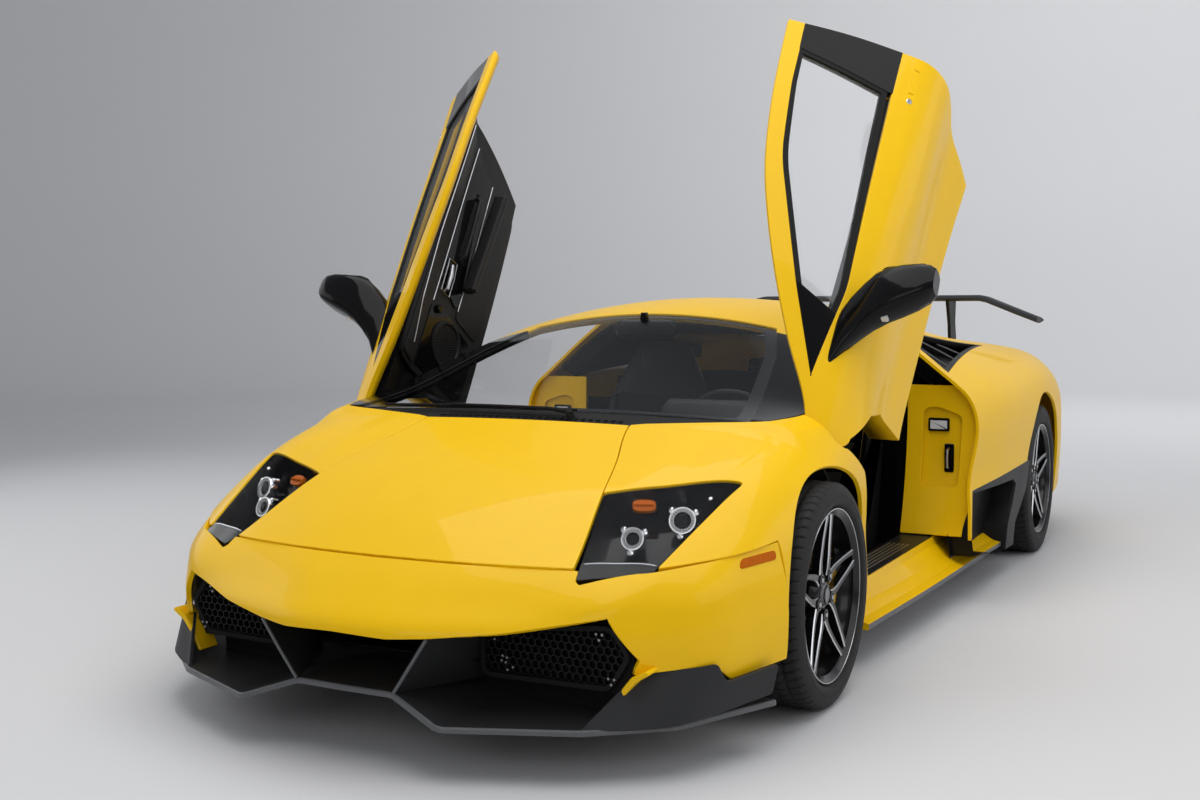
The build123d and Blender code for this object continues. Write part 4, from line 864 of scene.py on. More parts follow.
def finishes():
    """All the car's finishes by name, made once."""
    if FINISHES:
        return FINISHES
    paint = bpy.context.scene.car_paint
    FINISHES.update(
        paint=finish(
            "pearl_paint", paint.body, 0.42, coat=0.18, specular=0.15, tone=0.03, grain=0.02,
            grain_scale=2500
        ),
        # The jambs take the body colour 6% darker: a shaded copy of the paint, painted shade of the shut
        # faces.
        jamb=finish(
            "shaded_jamb_paint", [c * 0.94 for c in paint.body], 0.4, coat=0.2, specular=0.15, tone=0.04
        ),
        grey=finish(
            "matt_grey", paint.trim, 0.5, specular=0.25, tone=0.12, smudge=0.08, grain=0.25,
            grain_scale=900
        ),
        edge=finish("rolled_edge", (0.10, 0.103, 0.108), 0.38, specular=0.35, tone=0.1, grain=0.1),
        gloss=finish("gloss_black", (0.004, 0.004, 0.0045), 0.08, specular=0.16, tone=0.2, smudge=0.03),
        satin=finish(
            "satin_black", (0.009, 0.009, 0.0095), 0.42, specular=0.14, tone=0.15, smudge=0.08, grain=0.2,
            grain_scale=700
        ),
        seal=finish("rubber_seal", (0.008, 0.008, 0.008), 0.62, specular=0.18, tone=0.15, grain=0.2),
        # Also the dark pins for the brake discs' drilled holes: painted shade.
        under=finish(
            "under_seal_and_hole_shade", (0.012, 0.012, 0.0125), 0.8, specular=0.15, tone=0.2, grain=0.6, grain_scale=300
        ),
        glass=clear("clear_glass", (0.5, 0.53, 0.55), 0.05, 0.35),
        cover=clear("lamp_cover", (0.3, 0.31, 0.33), 0.01, 0.06),
        rubber=finish(
            "tyre_rubber", (0.015, 0.015, 0.0155), 0.68, specular=0.3, tone=0.25, tone_scale=30,
            smudge=0.1, grain=0.35, grain_scale=500
        ),
        wheel=finish("wheel_black", (0.006, 0.006, 0.0065), 0.2, coat=0.15, specular=0.3, tone=0.1),
        machined=finish(
            "machined_face", (0.72, 0.73, 0.75), 0.22, metallic=1.0, tone=0.05, grain=0.15,
            grain_scale=1200
        ),
        steel=finish(
            "brushed_steel", (0.42, 0.42, 0.44), 0.34, metallic=1.0, tone=0.12, grain=0.2, grain_scale=800
        ),
        chrome=finish("bright_ring", (0.8, 0.81, 0.83), 0.1, metallic=1.0, tone=0.03),
        caliper=finish("caliper_paint", paint.caliper, 0.35, coat=0.4, tone=0.06),
        amber=finish(
            "amber_lens", (0.5, 0.11, 0.001), 0.2, specular=0.05, tone=0.35, tone_scale=160, smudge=0.1
        ),
        red=finish("red_lens", (0.32, 0.008, 0.006), 0.12, coat=1.0, tone=0.1),
        hide=finish(
            "black_hide", (0.009, 0.0088, 0.0088), 0.55, specular=0.25, tone=0.2, tone_scale=40,
            smudge=0.08, grain=0.7, grain_scale=550
        ),
        stitch=finish("thread", paint.thread, 0.7, tone=0.1, tone_scale=60),
        carpet=finish(
            "black_carpet", (0.008, 0.008, 0.008), 0.95, specular=0.1, tone=0.3, tone_scale=120,
            grain=1.0, grain_scale=900
        ),
        lit=finish("lamp_glow", (0.62, 0.63, 0.64), 0.3, coat=0.2, tone=0.12, tone_scale=200),
        iron=finish(
            "cast_iron", (0.07, 0.07, 0.072), 0.55, metallic=0.7, tone=0.25, grain=0.6, grain_scale=250
        ),
        alloy=finish(
            "cast_alloy", (0.3, 0.3, 0.31), 0.5, metallic=0.9, tone=0.15, grain=0.5, grain_scale=250
        )
    )
    return FINISHES


FINISHES = {}


def coats(*names):
    """The named finishes, as a list for a piece."""
    made = finishes()
    return [made[n] for n in names]


# ------------------------------------------------------------------ stage
CAMERA_PLACE = (2.101, -4.892, 1.127)
CAMERA_YAW = radians(28.058)
CAMERA_PITCH = radians(-4.173)
CAMERA_ROLL = radians(-0.319)
CAMERA_LENS = 40.72


def make_camera():
    """The camera at the place and angles that show the car from its left front."""
    forward = Vector(
        (-sin(CAMERA_YAW) * cos(CAMERA_PITCH), cos(CAMERA_YAW) * cos(CAMERA_PITCH), sin(CAMERA_PITCH))
    )
    right = Vector((cos(CAMERA_YAW), sin(CAMERA_YAW), 0))
    up = right.cross(forward)
    across = cos(CAMERA_ROLL) * right + sin(CAMERA_ROLL) * up
    above = cos(CAMERA_ROLL) * up - sin(CAMERA_ROLL) * right
    camera = bpy.data.objects.new("camera", bpy.data.cameras.new("camera"))
    camera.data.lens = CAMERA_LENS
    camera.data.sensor_width = 36
    turn = Matrix((across, above, -forward)).transposed().to_4x4()
    camera.matrix_world = Matrix.Translation(CAMERA_PLACE) @ turn
    bpy.context.scene.collection.objects.link(camera)
    bpy.context.scene.camera = camera


def area_light(name, place, target, size, power):
    """A soft box that looks at a target."""
    lamp = bpy.data.lights.new(name, "AREA")
    lamp.shape = "RECTANGLE"
    lamp.size, lamp.size_y = size
    lamp.energy = power
    thing = bpy.data.objects.new(name, lamp)
    thing.location = place
    thing.rotation_euler = (Vector(target) - Vector(place)).to_track_quat("-Z", "Y").to_euler()
    bpy.context.scene.collection.objects.link(thing)


def make_stage():
    """Pale floor, studio light and camera."""
    stage = bpy.context.scene.car_stage
    mesh = bpy.data.meshes.new("floor")
    flat, bend = stage.floor_size / 2, stage.floor_size / 6
    profile = [(0.01, 0), (flat * 0.5, 0), (flat, 0)]
    profile += [(flat + bend * sin(k * pi / 24), bend * (1 - cos(k * pi / 24))) for k in range(1, 13)]
    profile += [(flat + bend, bend * 1.6)]
    count = 96
    angle = [2 * pi * k / count for k in range(count)]
    mesh.from_pydata(
        [(r * cos(a), r * sin(a), z) for r, z in profile for a in angle], [], ladder(count, len(profile))
    )
    mesh.polygons.foreach_set("use_smooth", [True] * len(mesh.polygons))
    floor = bpy.data.objects.new("floor", mesh)
    bpy.context.scene.collection.objects.link(floor)
    mesh.materials.append(finish("pale_floor", stage.floor, 0.6, tone=0.01, tone_scale=0.6, smudge=0.03))
    world = bpy.data.worlds.new("studio")
    world.use_nodes = True
    tree = world.node_tree
    back = tree.nodes["Background"]
    back.inputs["Strength"].default_value = stage.sky
    place = tree.nodes.new("ShaderNodeTexCoord")
    split = tree.nodes.new("ShaderNodeSeparateXYZ")
    ramp = tree.nodes.new("ShaderNodeValToRGB")
    ramp.color_ramp.elements[0].position, ramp.color_ramp.elements[0].color = 0.0, (0.80, 0.81, 0.83, 1)
    ramp.color_ramp.elements[1].position, ramp.color_ramp.elements[1].color = 0.6, (0.30, 0.31, 0.33, 1)
    tree.links.new(place.outputs["Generated"], split.inputs["Vector"])
    tree.links.new(split.outputs["Z"], ramp.inputs["Fac"])
    tree.links.new(ramp.outputs["Color"], back.inputs["Color"])
    bpy.context.scene.world = world
    area_light("overhead", (0.5, -0.8, 4.6), (0, -0.2, 0.5), (4.5, 6.5), stage.overhead)
    area_light("left_wall", (5.2, 0.5, 2.2), (0, 0, 0.7), (6.5, 2.6), stage.wall)
    area_light("right_wall", (-5.0, -1.5, 2.4), (0, -0.5, 0.7), (6.0, 2.4), stage.wall * 0.8)
    area_light("backdrop_wash", (1.5, 6.5, 7.5), (3.5, 15, 1.5), (10, 3), stage.wash)
    area_light("front_fill", (1.5, -7.0, 2.6), (0, -1, 0.6), (5, 2.2), stage.front)
    make_camera()
    bpy.context.scene.view_settings.view_transform = "Standard"


def upright(y):
    """An upright face across the car at y, from x and height."""
    return lambda x, z: np.stack([x, 0 * x + y, z], 1)


# ------------------------------------------------------------------ painted panels
def lamp_loop(amount):
    """The headlamp's plan outline, grown by an amount."""
    return grown(rounded(LAMP_OUTLINE, 16), amount)


def make_wings():
    """Front wings, from the lamps and bumper to the doors, with their arches."""
    build = Build()
    cuts = [
        from_plan(lamp_loop(SEAM + ROLL)),
        from_side(split_band(SEAM + ROLL, False)),
        from_side(door_loop(SHUT + ROLL + 1)),
        from_side(circle(FRONT_AXLE, FRONT_ARCH_RADIUS + ROLL)),
    ]
    side_panel(build, [span(-2112, -880, 0.012)], cuts)
    build.mirror()
    place(build, "wing_panels", "paint", "body", "paint", "wings")


def make_bonnet():
    """Bonnet, from the bumper to the cowl."""
    build = Build()
    keep = [edge_band(-2165, BONNET_REAR_Y, -5)]
    cut = [dense([*nose_split_plan(3 + ROLL), (700, -2400), (-700, -2400)], 14)]
    crown_panel(build, keep, cut)
    place(build, "bonnet_panel", "paint", "bonnet", "paint", "bonnet")


def nose_split_plan(gap):
    """Plan line where the bonnet's skin meets the bumper's split, held back by a gap."""
    line = []
    for x in np.linspace(-560, 560, 57):
        y = -2165.0
        while spot(crown_skin, x, y)[2] < 486 and y < -2000:
            y += 1.0
        line.append((x, y + gap))
    return line


MOUTH_HALF = ((0, 336), (153, 330), (255, 336), (420, 354), (652, 392), (716, 288), (655, 120))
BLADE_SEAT = (
    (-2230, 100), (-2230, 256), (-2110, 256), (-1960, 262), (-1900, 215), (-1690, 225), (-1690, 100),
)
HEADER_Y = -600  # the pillars are black in front of it


def make_roof():
    """Roof with its header, and the black front pillars."""
    build = Build()
    keep = [middle_band(-1338, LID_FRONT_Y - 8, -7 - ROLL, 130)]  # between the doors
    hole = [dense(grown(mirrored_plan(SCREEN_EDGE), 1), 12)]
    crown_panel(build, [*keep, dense(rect(-900, 900, HEADER_Y + 2, 900), 14)], hole, wall=30)
    place(build, "roof_panel", "paint", "body", "paint", "roof")
    pillar = Build()
    left = dense(rect(0, 900, -1500, HEADER_Y - 2), 14)
    crown_panel(pillar, [*keep, left], hole, wall=30)
    pillar.mirror()
    place(pillar, "front_pillars", "gloss", "body", "black_trim")


def make_quarters():
    """Rear quarters with their arches, cut round the doors, the intakes and the scoops."""
    build = Build()
    cuts = [
        from_side(door_loop(SHUT + ROLL)),
        from_side(circle(REAR_AXLE, REAR_ARCH_RADIUS + ROLL)),
        from_plan(grown(rounded(INTAKE_OUTLINE, 8), 2)),
        from_side(grown(rounded(SCOOP_OUTLINE, 6), 2)),
    ]
    side_panel(build, [span(80, FASCIA_Y - 2, 0.012)], cuts)
    build.mirror()
    place(build, "quarter_panels", "paint", "body", "paint", "quarters")


def make_engine_lid():
    """Engine lid with its opening for the slats."""
    build = Build()
    hole = dense(rounded(trapeze(*LID_HOLE), 30), 14)
    crown_panel(build, [edge_band(LID_FRONT_Y + 3, LID_REAR_Y - 3, -5)], [hole])
    place(build, "engine_lid_panel", "paint", "engine_lid", "paint", "engine_lid")


def make_bumper():
    """Nose skin, with the mouth, the lamps' corners and the blades' seats cut out."""
    build = Build()
    outline = dense([*[(-x, z) for x, z in MOUTH_HALF[:0:-1]], *MOUTH_HALF], 12)
    t = NOSE.place(outline[:, 1], np.abs(outline[:, 0]), 0) * np.sign(outline[:, 0])
    cuts = [np.stack([outline[:, 1], t], 1)]
    blade = dense(BLADE_SEAT, 12)
    t = NOSE.place(blade[:, 1], blade[:, 0], 1)
    cuts += [np.stack([blade[:, 1], side * t], 1) for side in (1, -1)]
    across = np.linspace(-5.2, 5.2, 160)
    level = np.full(160, 486.0)
    for _ in range(4):
        y = nose_skin(level, np.clip(across, -5, 5))[:, 1]
        level = np.interp(y, *np.array(BUMPER_SPLIT, float).T)
    cuts.append(np.array([*zip(level - SEAM - ROLL, across), (620, 5.2), (620, -5.2)]))
    for side in (1, -1):
        cuts.append(lamp_on_nose(side))
    end = 5 * NOSE_STRETCH
    keep = dense(((152, -end), (152, end), (545, end), (545, -end)), 12) / (1, NOSE_STRETCH)
    panel(build, nose_skin, [keep], cuts, stretch=NOSE_STRETCH, outward=(0, -1, 0), roll=ROLL, wall=14)
    place(build, "bumper_skin", "paint", "body", "paint", "front_bumper")


def lamp_on_nose(side):
    """Where the headlamp's plan outline cuts the nose."""
    lamp = lamp_loop(SEAM + ROLL)
    left, right = [], []
    t = np.linspace(0.5, 5, 800)
    for z in np.arange(440, 545, 5.0):
        p = nose_skin(np.full(800, z), t)
        hit = np.flatnonzero(inside(p[:, :2], [lamp]))
        if len(hit):
            left.append((z, side * t[hit[0]]))
            right.append((z, side * t[hit[-1]]))
    return np.array([*left, *right[::-1]])


# ------------------------------------------------------------------ doors
DOOR_OPENING = (
    (790, -1010), (715, -740), (618, -330), (604, -60), (602, 300), (872, 300), (862, 40), (842, -700),
)
FRAME_AREA = ((602, 76), (600, 300), (872, 300), (862, 40), (850, 40))
SAIL_REAR_Y = -775
FLAP_OUTLINE = ((64, 1.26), (164, 1.30), (164, 1.58), (64, 1.54))  # y and s
LOCK = (36, 1.38)


def door_rear(points, y, s):
    """The inner face of a door behind each point of its skin."""
    c = BODY.corners(y)
    limit = np.interp(y, (-1110, -1080), (810, 770))
    low = np.stack([c[:, SILL, 0] - 98, c[:, SILL, 1]], 1)
    mid = np.stack([np.maximum(c[:, WAIST, 0] - 113, limit), c[:, WAIST, 1]], 1)
    top = np.stack([np.maximum(c[:, CREST, 0] - 73, limit), c[:, CREST, 1] - 40], 1)
    z = np.minimum(points[:, 2], top[:, 1])
    t = np.clip((z - low[:, 1]) / (mid[:, 1] - low[:, 1]), 0, 1)
    u = np.clip((z - mid[:, 1]) / (top[:, 1] - mid[:, 1]), 0, 1)
    x = np.where(z < mid[:, 1], low[:, 0] + t * (mid - low)[:, 0], mid[:, 0] + u * (top - mid)[:, 0])
    w = np.clip((s - 0.8) / 0.3, 0, 1)
    w = (w * w * (3 - 2 * w))[:, None]
    frame_side = points - np.stack([0 * y + 4, 0 * y, 0 * y + 38], 1)
    return (1 - w) * frame_side + w * np.stack([x, y, z], 1)


def make_doors():
    """Doors: skins, black window frames and seals, sail panels, handle flaps and locks."""
    skin, frame_piece = Build(), Build()
    door = from_side(door_loop(-ROLL))
    opening = from_plan(rounded(DOOR_OPENING, (10, 30, 60, 10, 0, 0, 10, 40)))
    flap = np.array(FLAP_OUTLINE) * (1, SKIN_STRETCH)
    flap = dense(rounded(flap, 6), 8) / (1, SKIN_STRETCH)
    side_panel(skin, [span(-1184, 230, 0.012), door], [opening, flap], rear=door_rear, inner_paint=1)
    side_panel(
        skin, [grown(flap * (1, SKIN_STRETCH), -ROLL - 4) / (1, SKIN_STRETCH)], [], wall=6, paint=0
    )
    back, lock = spot(side_skin, 114, 1.42), spot(side_skin, *LOCK)
    out = outer_normal(side_skin, *np.array(LOCK, float)[:, None])[0]
    box(skin, (back[0] - 44, back[0] - 14), (58, 170), (back[2] - 40, back[2] + 8), 2, 1)
    lathe(
        skin, [(-3, TIP), (1.5, TIP), (1.5, 4), (3, 5), (3, 8), (1, 10), (-3, 10)], lock, 24, 2,
        turn=facing(out)
    )
    window = rounded(WINDOW_OUTLINE, (8, 30, 60, 10, 12, 12, 40))
    side_panel(frame_piece, [door, from_plan(FRAME_AREA)], [from_plan(window)], wall=26)
    sail = dense(((700, -1100), (900, -1100), (900, SAIL_REAR_Y - 60), (700, SAIL_REAR_Y + 60)), 12)
    side_panel(frame_piece, [from_plan(grown(window, -ROLL - 1)), from_plan(sail)], [], wall=20)
    ring, inner = grown(window, -1), grown(window, -16)
    sunk_panel(frame_piece, 1.5, [from_plan(ring)], [from_plan(inner)], roll=1, wall=24, paint=1)
    glass = Build()
    light = dense(((500, SAIL_REAR_Y + 180), (900, SAIL_REAR_Y - 60), (900, 300), (500, 300)), 12)
    sunk_panel(glass, 6, [from_plan(grown(inner, 6)), from_plan(light)], roll=0.6, wall=4, step=22)
    both_doors(skin, "door_skin", "paint satin chrome", "paint", "door_shell")
    both_doors(frame_piece, "door_frame", "gloss seal", "black_trim")
    both_doors(glass, "door_window", "glass", "glass", "door_glass")


def both_doors(build, name, looks, slot, *nodes):
    """A door's piece drawn shut on the left, made open on both sides."""
    for side, word in ((build, "left"), (build.mirrored(), "right")):
        stands_for = [f"{node}_{word}" for node in nodes]
        opened = side.turned(DOOR_OPEN, *HINGE)
        place(opened, f"{name}_{word}", looks, f"door_{word}", slot, *stands_for)


def superellipse(centre, across, up, power=2.6, count=28):
    """A rounded box section from its two half axes, as vectors."""
    angle = np.linspace(0, 2 * pi, count, endpoint=False)
    c, s = np.cos(angle), np.sin(angle)
    c = np.sign(c) * np.abs(c) ** (2 / power)
    s = np.sign(s) * np.abs(s) ** (2 / power)
    centre, across, up = (np.array(v, float) for v in (centre, across, up))
    return centre + c[:, None] * across + s[:, None] * up


MIRROR_STATIONS = (
    # x, y, z, half depth along y, half height
    (764, -905, 786, 84, 14), (806, -884, 790, 90, 16), (830, -858, 794, 90, 24),
    (862, -806, 798, 88, 34), (900, -768, 806, 88, 44), (935, -742, 816, 86, 52),
    (975, -726, 826, 80, 56), (1020, -716, 833, 72, 57), (1064, -708, 840, 62, 54),
    (1098, -702, 845, 50, 46), (1115, -698, 848, 36, 32),
)


def make_mirrors():
    """Door mirrors on their arms, with the glass let into the rear."""
    build = Build()
    rings = []
    for x, y, z, deep, tall in MIRROR_STATIONS:
        rings.append(superellipse((x, y, z), (0, deep, 0), (0, 0, tall), 3.6))
    loft(build, rings)
    face = rounded(((946, 782), (1072, 798), (1090, 816), (1086, 878), (962, 862), (942, 842)), 18)
    prism(build, face, "xz", -676, -648, 2, 0)
    prism(build, grown(face, -6), "xz", -649, -646.5, 0.6, 1)
    seam = [(x, y - deep * 0.96, z - tall * 0.45) for x, y, z, deep, tall in MIRROR_STATIONS[3:10]]
    tube(build, seam, 1.2, 6, 1)
    box(build, (966, 986), (-812, -801), (816, 838), 2, 2)
    both_doors(build, "mirror", "gloss chrome lit", "black_trim", "mirror")


# ------------------------------------------------------------------ nose: splitter, grilles, lamps
LIP_TOP = ((0, 190), (140, 190), (155, 187), (290, 141), (312, 137), (930, 137))  # x and z
LIP_EDGE = ((0, -2296), (150, -2294), (301, -2330), (612, -2203), (790, -2058), (910, -1795))
BLADE_LOW = ((0, 612, -2203, 134), (0.45, 800, -2065, 138), (1, 925, -1790, 158))
BLADE_HIGH = ((0, 712, -2078), (0.45, 850, -1964), (1, 940, -1765))
BLADE_TOP_Z = 262
BLADE_LENGTH = 480
BLADE_OUTLINE = ((0, 134), (216, 138), (480, 158), (480, 226), (300, 214), (222, 262), (0, 252))
TAB_OUTLINE = (
    (646, 158), (656, 156), (684, 206), (712, 240), (748, 262), (742, 272), (702, 252), (670, 212),
)
GRILLE_OUTLINE = ((275, 200), (275, 322), (640, 362), (690, 292), (635, 205))
GRILLE_Y = -2100
LAMP_FRONT = ((-2130, -70), (-2080, -70), (-1959, 560), (-2130, 560))  # y, and mm across the skin
PROJECTORS = (
    # centre, radius, aim
    ((599, -1905, 536), 26, (0.2, -0.9, 0.36)),
    ((687, -1800, 573), 31, (0.26, -0.9, 0.34)),
)
INDICATOR = (574, -1790, 605)


def lip_skin(x, y):
    """The splitter's top: flat in the mouth, lower beside it."""
    xs, zs = np.array(LIP_TOP, float).T
    return np.stack([x, y, np.interp(np.abs(x), xs, zs)], 1)


def blade_skin(a, z):
    """The splitter's side blade, from its place along it and its height."""
    t = a / BLADE_LENGTH
    low, high = np.array(BLADE_LOW, float), np.array(BLADE_HIGH, float)
    bottom = [monotone(t, low[:, 0], low[:, k]) for k in (1, 2, 3)]
    top = [monotone(t, high[:, 0], high[:, k]) for k in (1, 2)]
    f = (z - bottom[2]) / (BLADE_TOP_Z - bottom[2])
    return np.stack([bottom[0] + f * (top[0] - bottom[0]), bottom[1] + f * (top[1] - bottom[1]), z], 1)


def make_splitter():
    """Splitter: lip with a rolled edge, fins, side blades and the mouth's back wall."""
    build = Build()
    front = [*[(-x, y) for x, y in LIP_EDGE[:0:-1]], *LIP_EDGE]
    plan = [*front, (925, -1765), (700, -1765), (640, -1960), (-640, -1960), (-700, -1765), (-925, -1765)]
    panel(build, lip_skin, [dense(rounded(plan, 12), 14)], wall=14, roll=6, step=30, edge_paint=1)
    for side in (1, -1):
        wall = [(150, -2296, 186), (254, -2302, 333), (285, -2092, 338), (262, -2060, 186)]
        across = np.array((side * 7.0, 2.0, -4.0))
        outer = np.array([(side * x, y, z) for x, y, z in wall], float)
        inner = outer - across
        quads = [(0, 1, 2, 3), (7, 6, 5, 4), (1, 5, 6, 2), (3, 2, 6, 7)]
        build.add(np.concatenate([outer, inner]), [q if side > 0 else q[::-1] for q in quads])
        beading = [(side * 150, -2297, 188), (side * 202, -2301, 260), (side * 252, -2303, 331)]
        tube(build, beading, 4.5, 8, 1)
        blade = Build()
        outline = dense(rounded(BLADE_OUTLINE, (0, 0, 10, 8, 16, 16, 8)), 12)
        panel(blade, blade_skin, [outline], wall=9, roll=2.5, outward=(1, -0.5, 0), step=18)
        if side < 0:
            blade = blade.mirrored()
        build.take(blade)
    box(build, (-640, 640), (-2030, -2014), (130, 345), 2, 2)
    for z in (232, 282):
        box(build, (-262, 262), (-2112, -2040), (z, z + 7), 2, 2)
    place(build, "splitter", "grey edge satin", "body", "dark_grey", "front_splitter")
    tabs = Build()
    prism(tabs, rounded(TAB_OUTLINE, 5), "xz", -2122, -2052, 3)
    tabs.mirror()
    place(tabs, "bumper_tabs", "paint", "body", "paint")


def honeycomb(build, outline, plane, level, pitch, wall=3.4, depth=16.0, toward=-1):
    """A plate of hexagonal cells over an outline, its front at a level of a plane."""
    loop = np.array(outline, float)
    low, high = loop.min(0), loop.max(0)
    radius, first, second, third = pitch / sqrt(3), *AXES[plane]
    angle = np.radians(np.arange(6) * 60 + 30)
    ring = np.stack([np.cos(angle), np.sin(angle)], 1)
    rows = int((high[1] - low[1]) / (1.5 * radius)) + 2
    columns = int((high[0] - low[0]) / pitch) + 2
    for r in range(rows):
        for c in range(columns):
            centre = low + ((c + 0.5 * (r % 2)) * pitch, r * 1.5 * radius)
            if not inside(centre[None], [loop])[0]:
                continue
            outer, inner = centre + radius * ring, centre + (radius - wall / 2 * 1.155) * ring
            points = np.zeros((18, 3))
            for k, (row, back) in enumerate(((outer, 0), (inner, 0), (inner, depth))):
                points[k * 6 : k * 6 + 6, first] = row[:, 0]
                points[k * 6 : k * 6 + 6, second] = row[:, 1]
                points[k * 6 : k * 6 + 6, third] = level - toward * back
            build.add(points, ladder(6, 3, plane == "xz"))


def make_grilles():
    """Honeycomb grilles beside the mouth and across the tail."""
    build = Build()
    outline = np.array(rounded(GRILLE_OUTLINE, (30, 14, 26, 20, 24)))
    cells = grown(outline, -9)
    honeycomb(build, cells, "xz", GRILLE_Y, bpy.context.scene.car_detail.cell / MM)
    box(build, (270, 690), (GRILLE_Y + 18, GRILLE_Y + 24), (196, 364), 1, 1)
    border, hole = dense(outline, 12), dense(cells, 12)
    panel(build, upright(GRILLE_Y - 3), [border], [hole], outward=(0, -1, 0), wall=24, roll=2, paint=1)
    for x, z, count in ((318, 306, 3), (610, 336, 3), (642, 232, 3), (345, 250, 4), (362, 228, 2)):
        for k in range(count):
            turn = 2 * pi * k / count + 0.5
            point = (x + 9 * cos(turn), GRILLE_Y - 6, z + 9 * sin(turn))
            lathe(build, [(-4, TIP), (3, TIP), (2, 3.2), (-4, 4)], point, 10, 2, turn=facing((0, -1, 0)))
    build.mirror()
    honeycomb(build, grown(TAIL_GRILLE, -12), "xz", TAIL_FACE_Y - 8, 30, toward=1)
    box(build, (-570, 570), (TAIL_FACE_Y - 32, TAIL_FACE_Y - 26), (606, 824), 1, 1)
    place(build, "grilles", "satin under steel", "body", "black_trim", "grilles")


def side_point(y, s, drop):
    """A point that lies a drop below the side skin."""
    y, s = np.array([float(y)]), np.array([float(s)])
    return side_skin(y, s)[0] - drop * outer_normal(side_skin, y, s)[0]


def make_headlamps():
    """Headlamps: clear covers over black housings with ringed projectors and amber indicators."""
    cover, build = Build(), Build()
    loop = from_plan(lamp_loop(-1.5))
    sunk_panel(cover, 0.5, [loop], wall=3.5, roll=1.2, step=20)
    y, t = loop[:, 0], loop[:, 1]
    near, far = lowered(side_skin, 6)(y, t), lowered(side_skin, 84)(y, t)
    far = far + 0.06 * (far.mean(0) - far)
    loft(build, [near, far], 0, caps=False)
    sunk_panel(build, 80, [loop], wall=3, roll=1, step=26)
    front = dense(LAMP_FRONT, 12) / (1, SKIN_STRETCH)
    sunk_panel(build, 5, [loop, front], wall=60, roll=1)
    for centre, radius, aim in PROJECTORS:
        turn, centre = facing(aim), np.array(centre, float)
        barrel = [(-70, 20), (-34, radius - 6), (-20, radius + 5), (2, radius + 4)]
        barrel += [(4, radius + 3), (4, radius + 1), (-4, radius)]
        lathe(build, barrel, centre, 48, 2, turn=turn)
        ring = [(-4, radius - 8), (3, radius - 8), (3.5, radius - 1), (-4, radius - 1)]
        lathe(build, ring, centre, 48, 3, turn=turn)
        for k in range(22):
            point = about(centre, turn, 3.6, radius - 4.5, 2 * pi * k / 22)
            lathe(build, pin(-1, 0.8, 2.1, 2.2), point, 6, 0, turn=turn)
        dome = [(6 * cos(a) - 4, (radius - 9) * sin(a)) for a in np.linspace(0.01, pi / 2, 8)]
        lathe(build, dome[::-1], centre, 32, 4, closed=False, turn=turn)
        for k in (0.6, 2.4, 4.6):
            arm = about(centre, turn, -8, radius + 8, k)
            lathe(build, [(-10, TIP), (8, TIP), (6, 8), (-10, 10)], arm, 12, 2, turn=turn)
    amber, turn = np.array(INDICATOR), facing((0.25, -0.7, 0.66))
    for k in range(7):
        offset = turn @ np.array((0, (k - 3) * 7.5, 0))
        lathe(build, [(-8, TIP), (5, TIP), (3, 3.4), (-8, 4)], amber + offset, 10, 5, turn=turn)
    across, up = turn @ np.array((0, 30, 0)), turn @ np.array((0, 0, 17))
    loft(build, [superellipse(amber + turn @ np.array((k, 0, 0)), across, up, 3) for k in (-14, -3)], 5)
    ends = zip(np.linspace(-2065, -1962, 60), np.linspace(0.05, 2.85, 60))
    bezel = np.array([side_point(a, b, 5) for a, b in ends])
    bezel = bezel[inside(bezel[:, :2], [lamp_loop(-6)])]
    tube(build, bezel, 1.6, 8, 2)
    lathe(build, pin(-1, 3, 4, 6), (734, -1730, 622), 12, 2, turn=facing((0.3, -0.6, 0.7)))
    cover.mirror()
    build.mirror()
    place(cover, "lamp_covers", "cover", "body", "lens", "headlamp_covers")
    place(build, "lamp_housings", "gloss satin chrome lit gloss amber", "body", "lamp", "headlamps")


def make_side_markers():
    """Amber side markers set in the front wings."""
    build = Build()
    ends = [NOSE.place(np.array([487.0]), np.array([y]), 1, 3, 5)[0] for y in (-1832, -1716)]
    line = np.array([(484, ends[0]), (490, ends[1])]) * (1, NOSE_STRETCH)
    outline = np.array([line[0] - (9, 0), line[1] - (9, 0), line[1] + (9, 0), line[0] + (9, 0)])
    keep = dense(rounded(outline, 8), 8) / (1, NOSE_STRETCH)

    def raised(z, t):
        return nose_skin(z, t) + (3, 0, 0)

    panel(build, raised, [keep], stretch=NOSE_STRETCH, outward=(1, 0, 0), wall=8, roll=2.5, step=8)
    build.mirror()
    place(build, "side_markers", "amber", "body", "lamp")


# ------------------------------------------------------------------ wheels
TYRES = (
    # name, axle, width, track, dish
    ("front", FRONT_AXLE, 245, 1635, 75),
    ("rear", REAR_AXLE, 335, 1695, 95),
)
RIM_SETBACK = 9  # the rim's edge inside the tyre's side
FLANGE_RADIUS = 243.5
BOLTS, BOLT_CIRCLE = 5, 57
SPOKE = (
    # radius, degrees from the bolt, half width
    (52, 5, 14), (78, 11, 11.5), (105, 17, 9.5), (132, 22.5, 8.5), (160, 26, 8), (190, 29, 8),
    (214, 31, 9), (231, 32, 12),
)
DISC_BACK = 70  # the disc's inner face behind the dish
CALIPER = (132, 194)  # inner and outer radius
CALIPER_SPREAD = 0.36  # half its angle


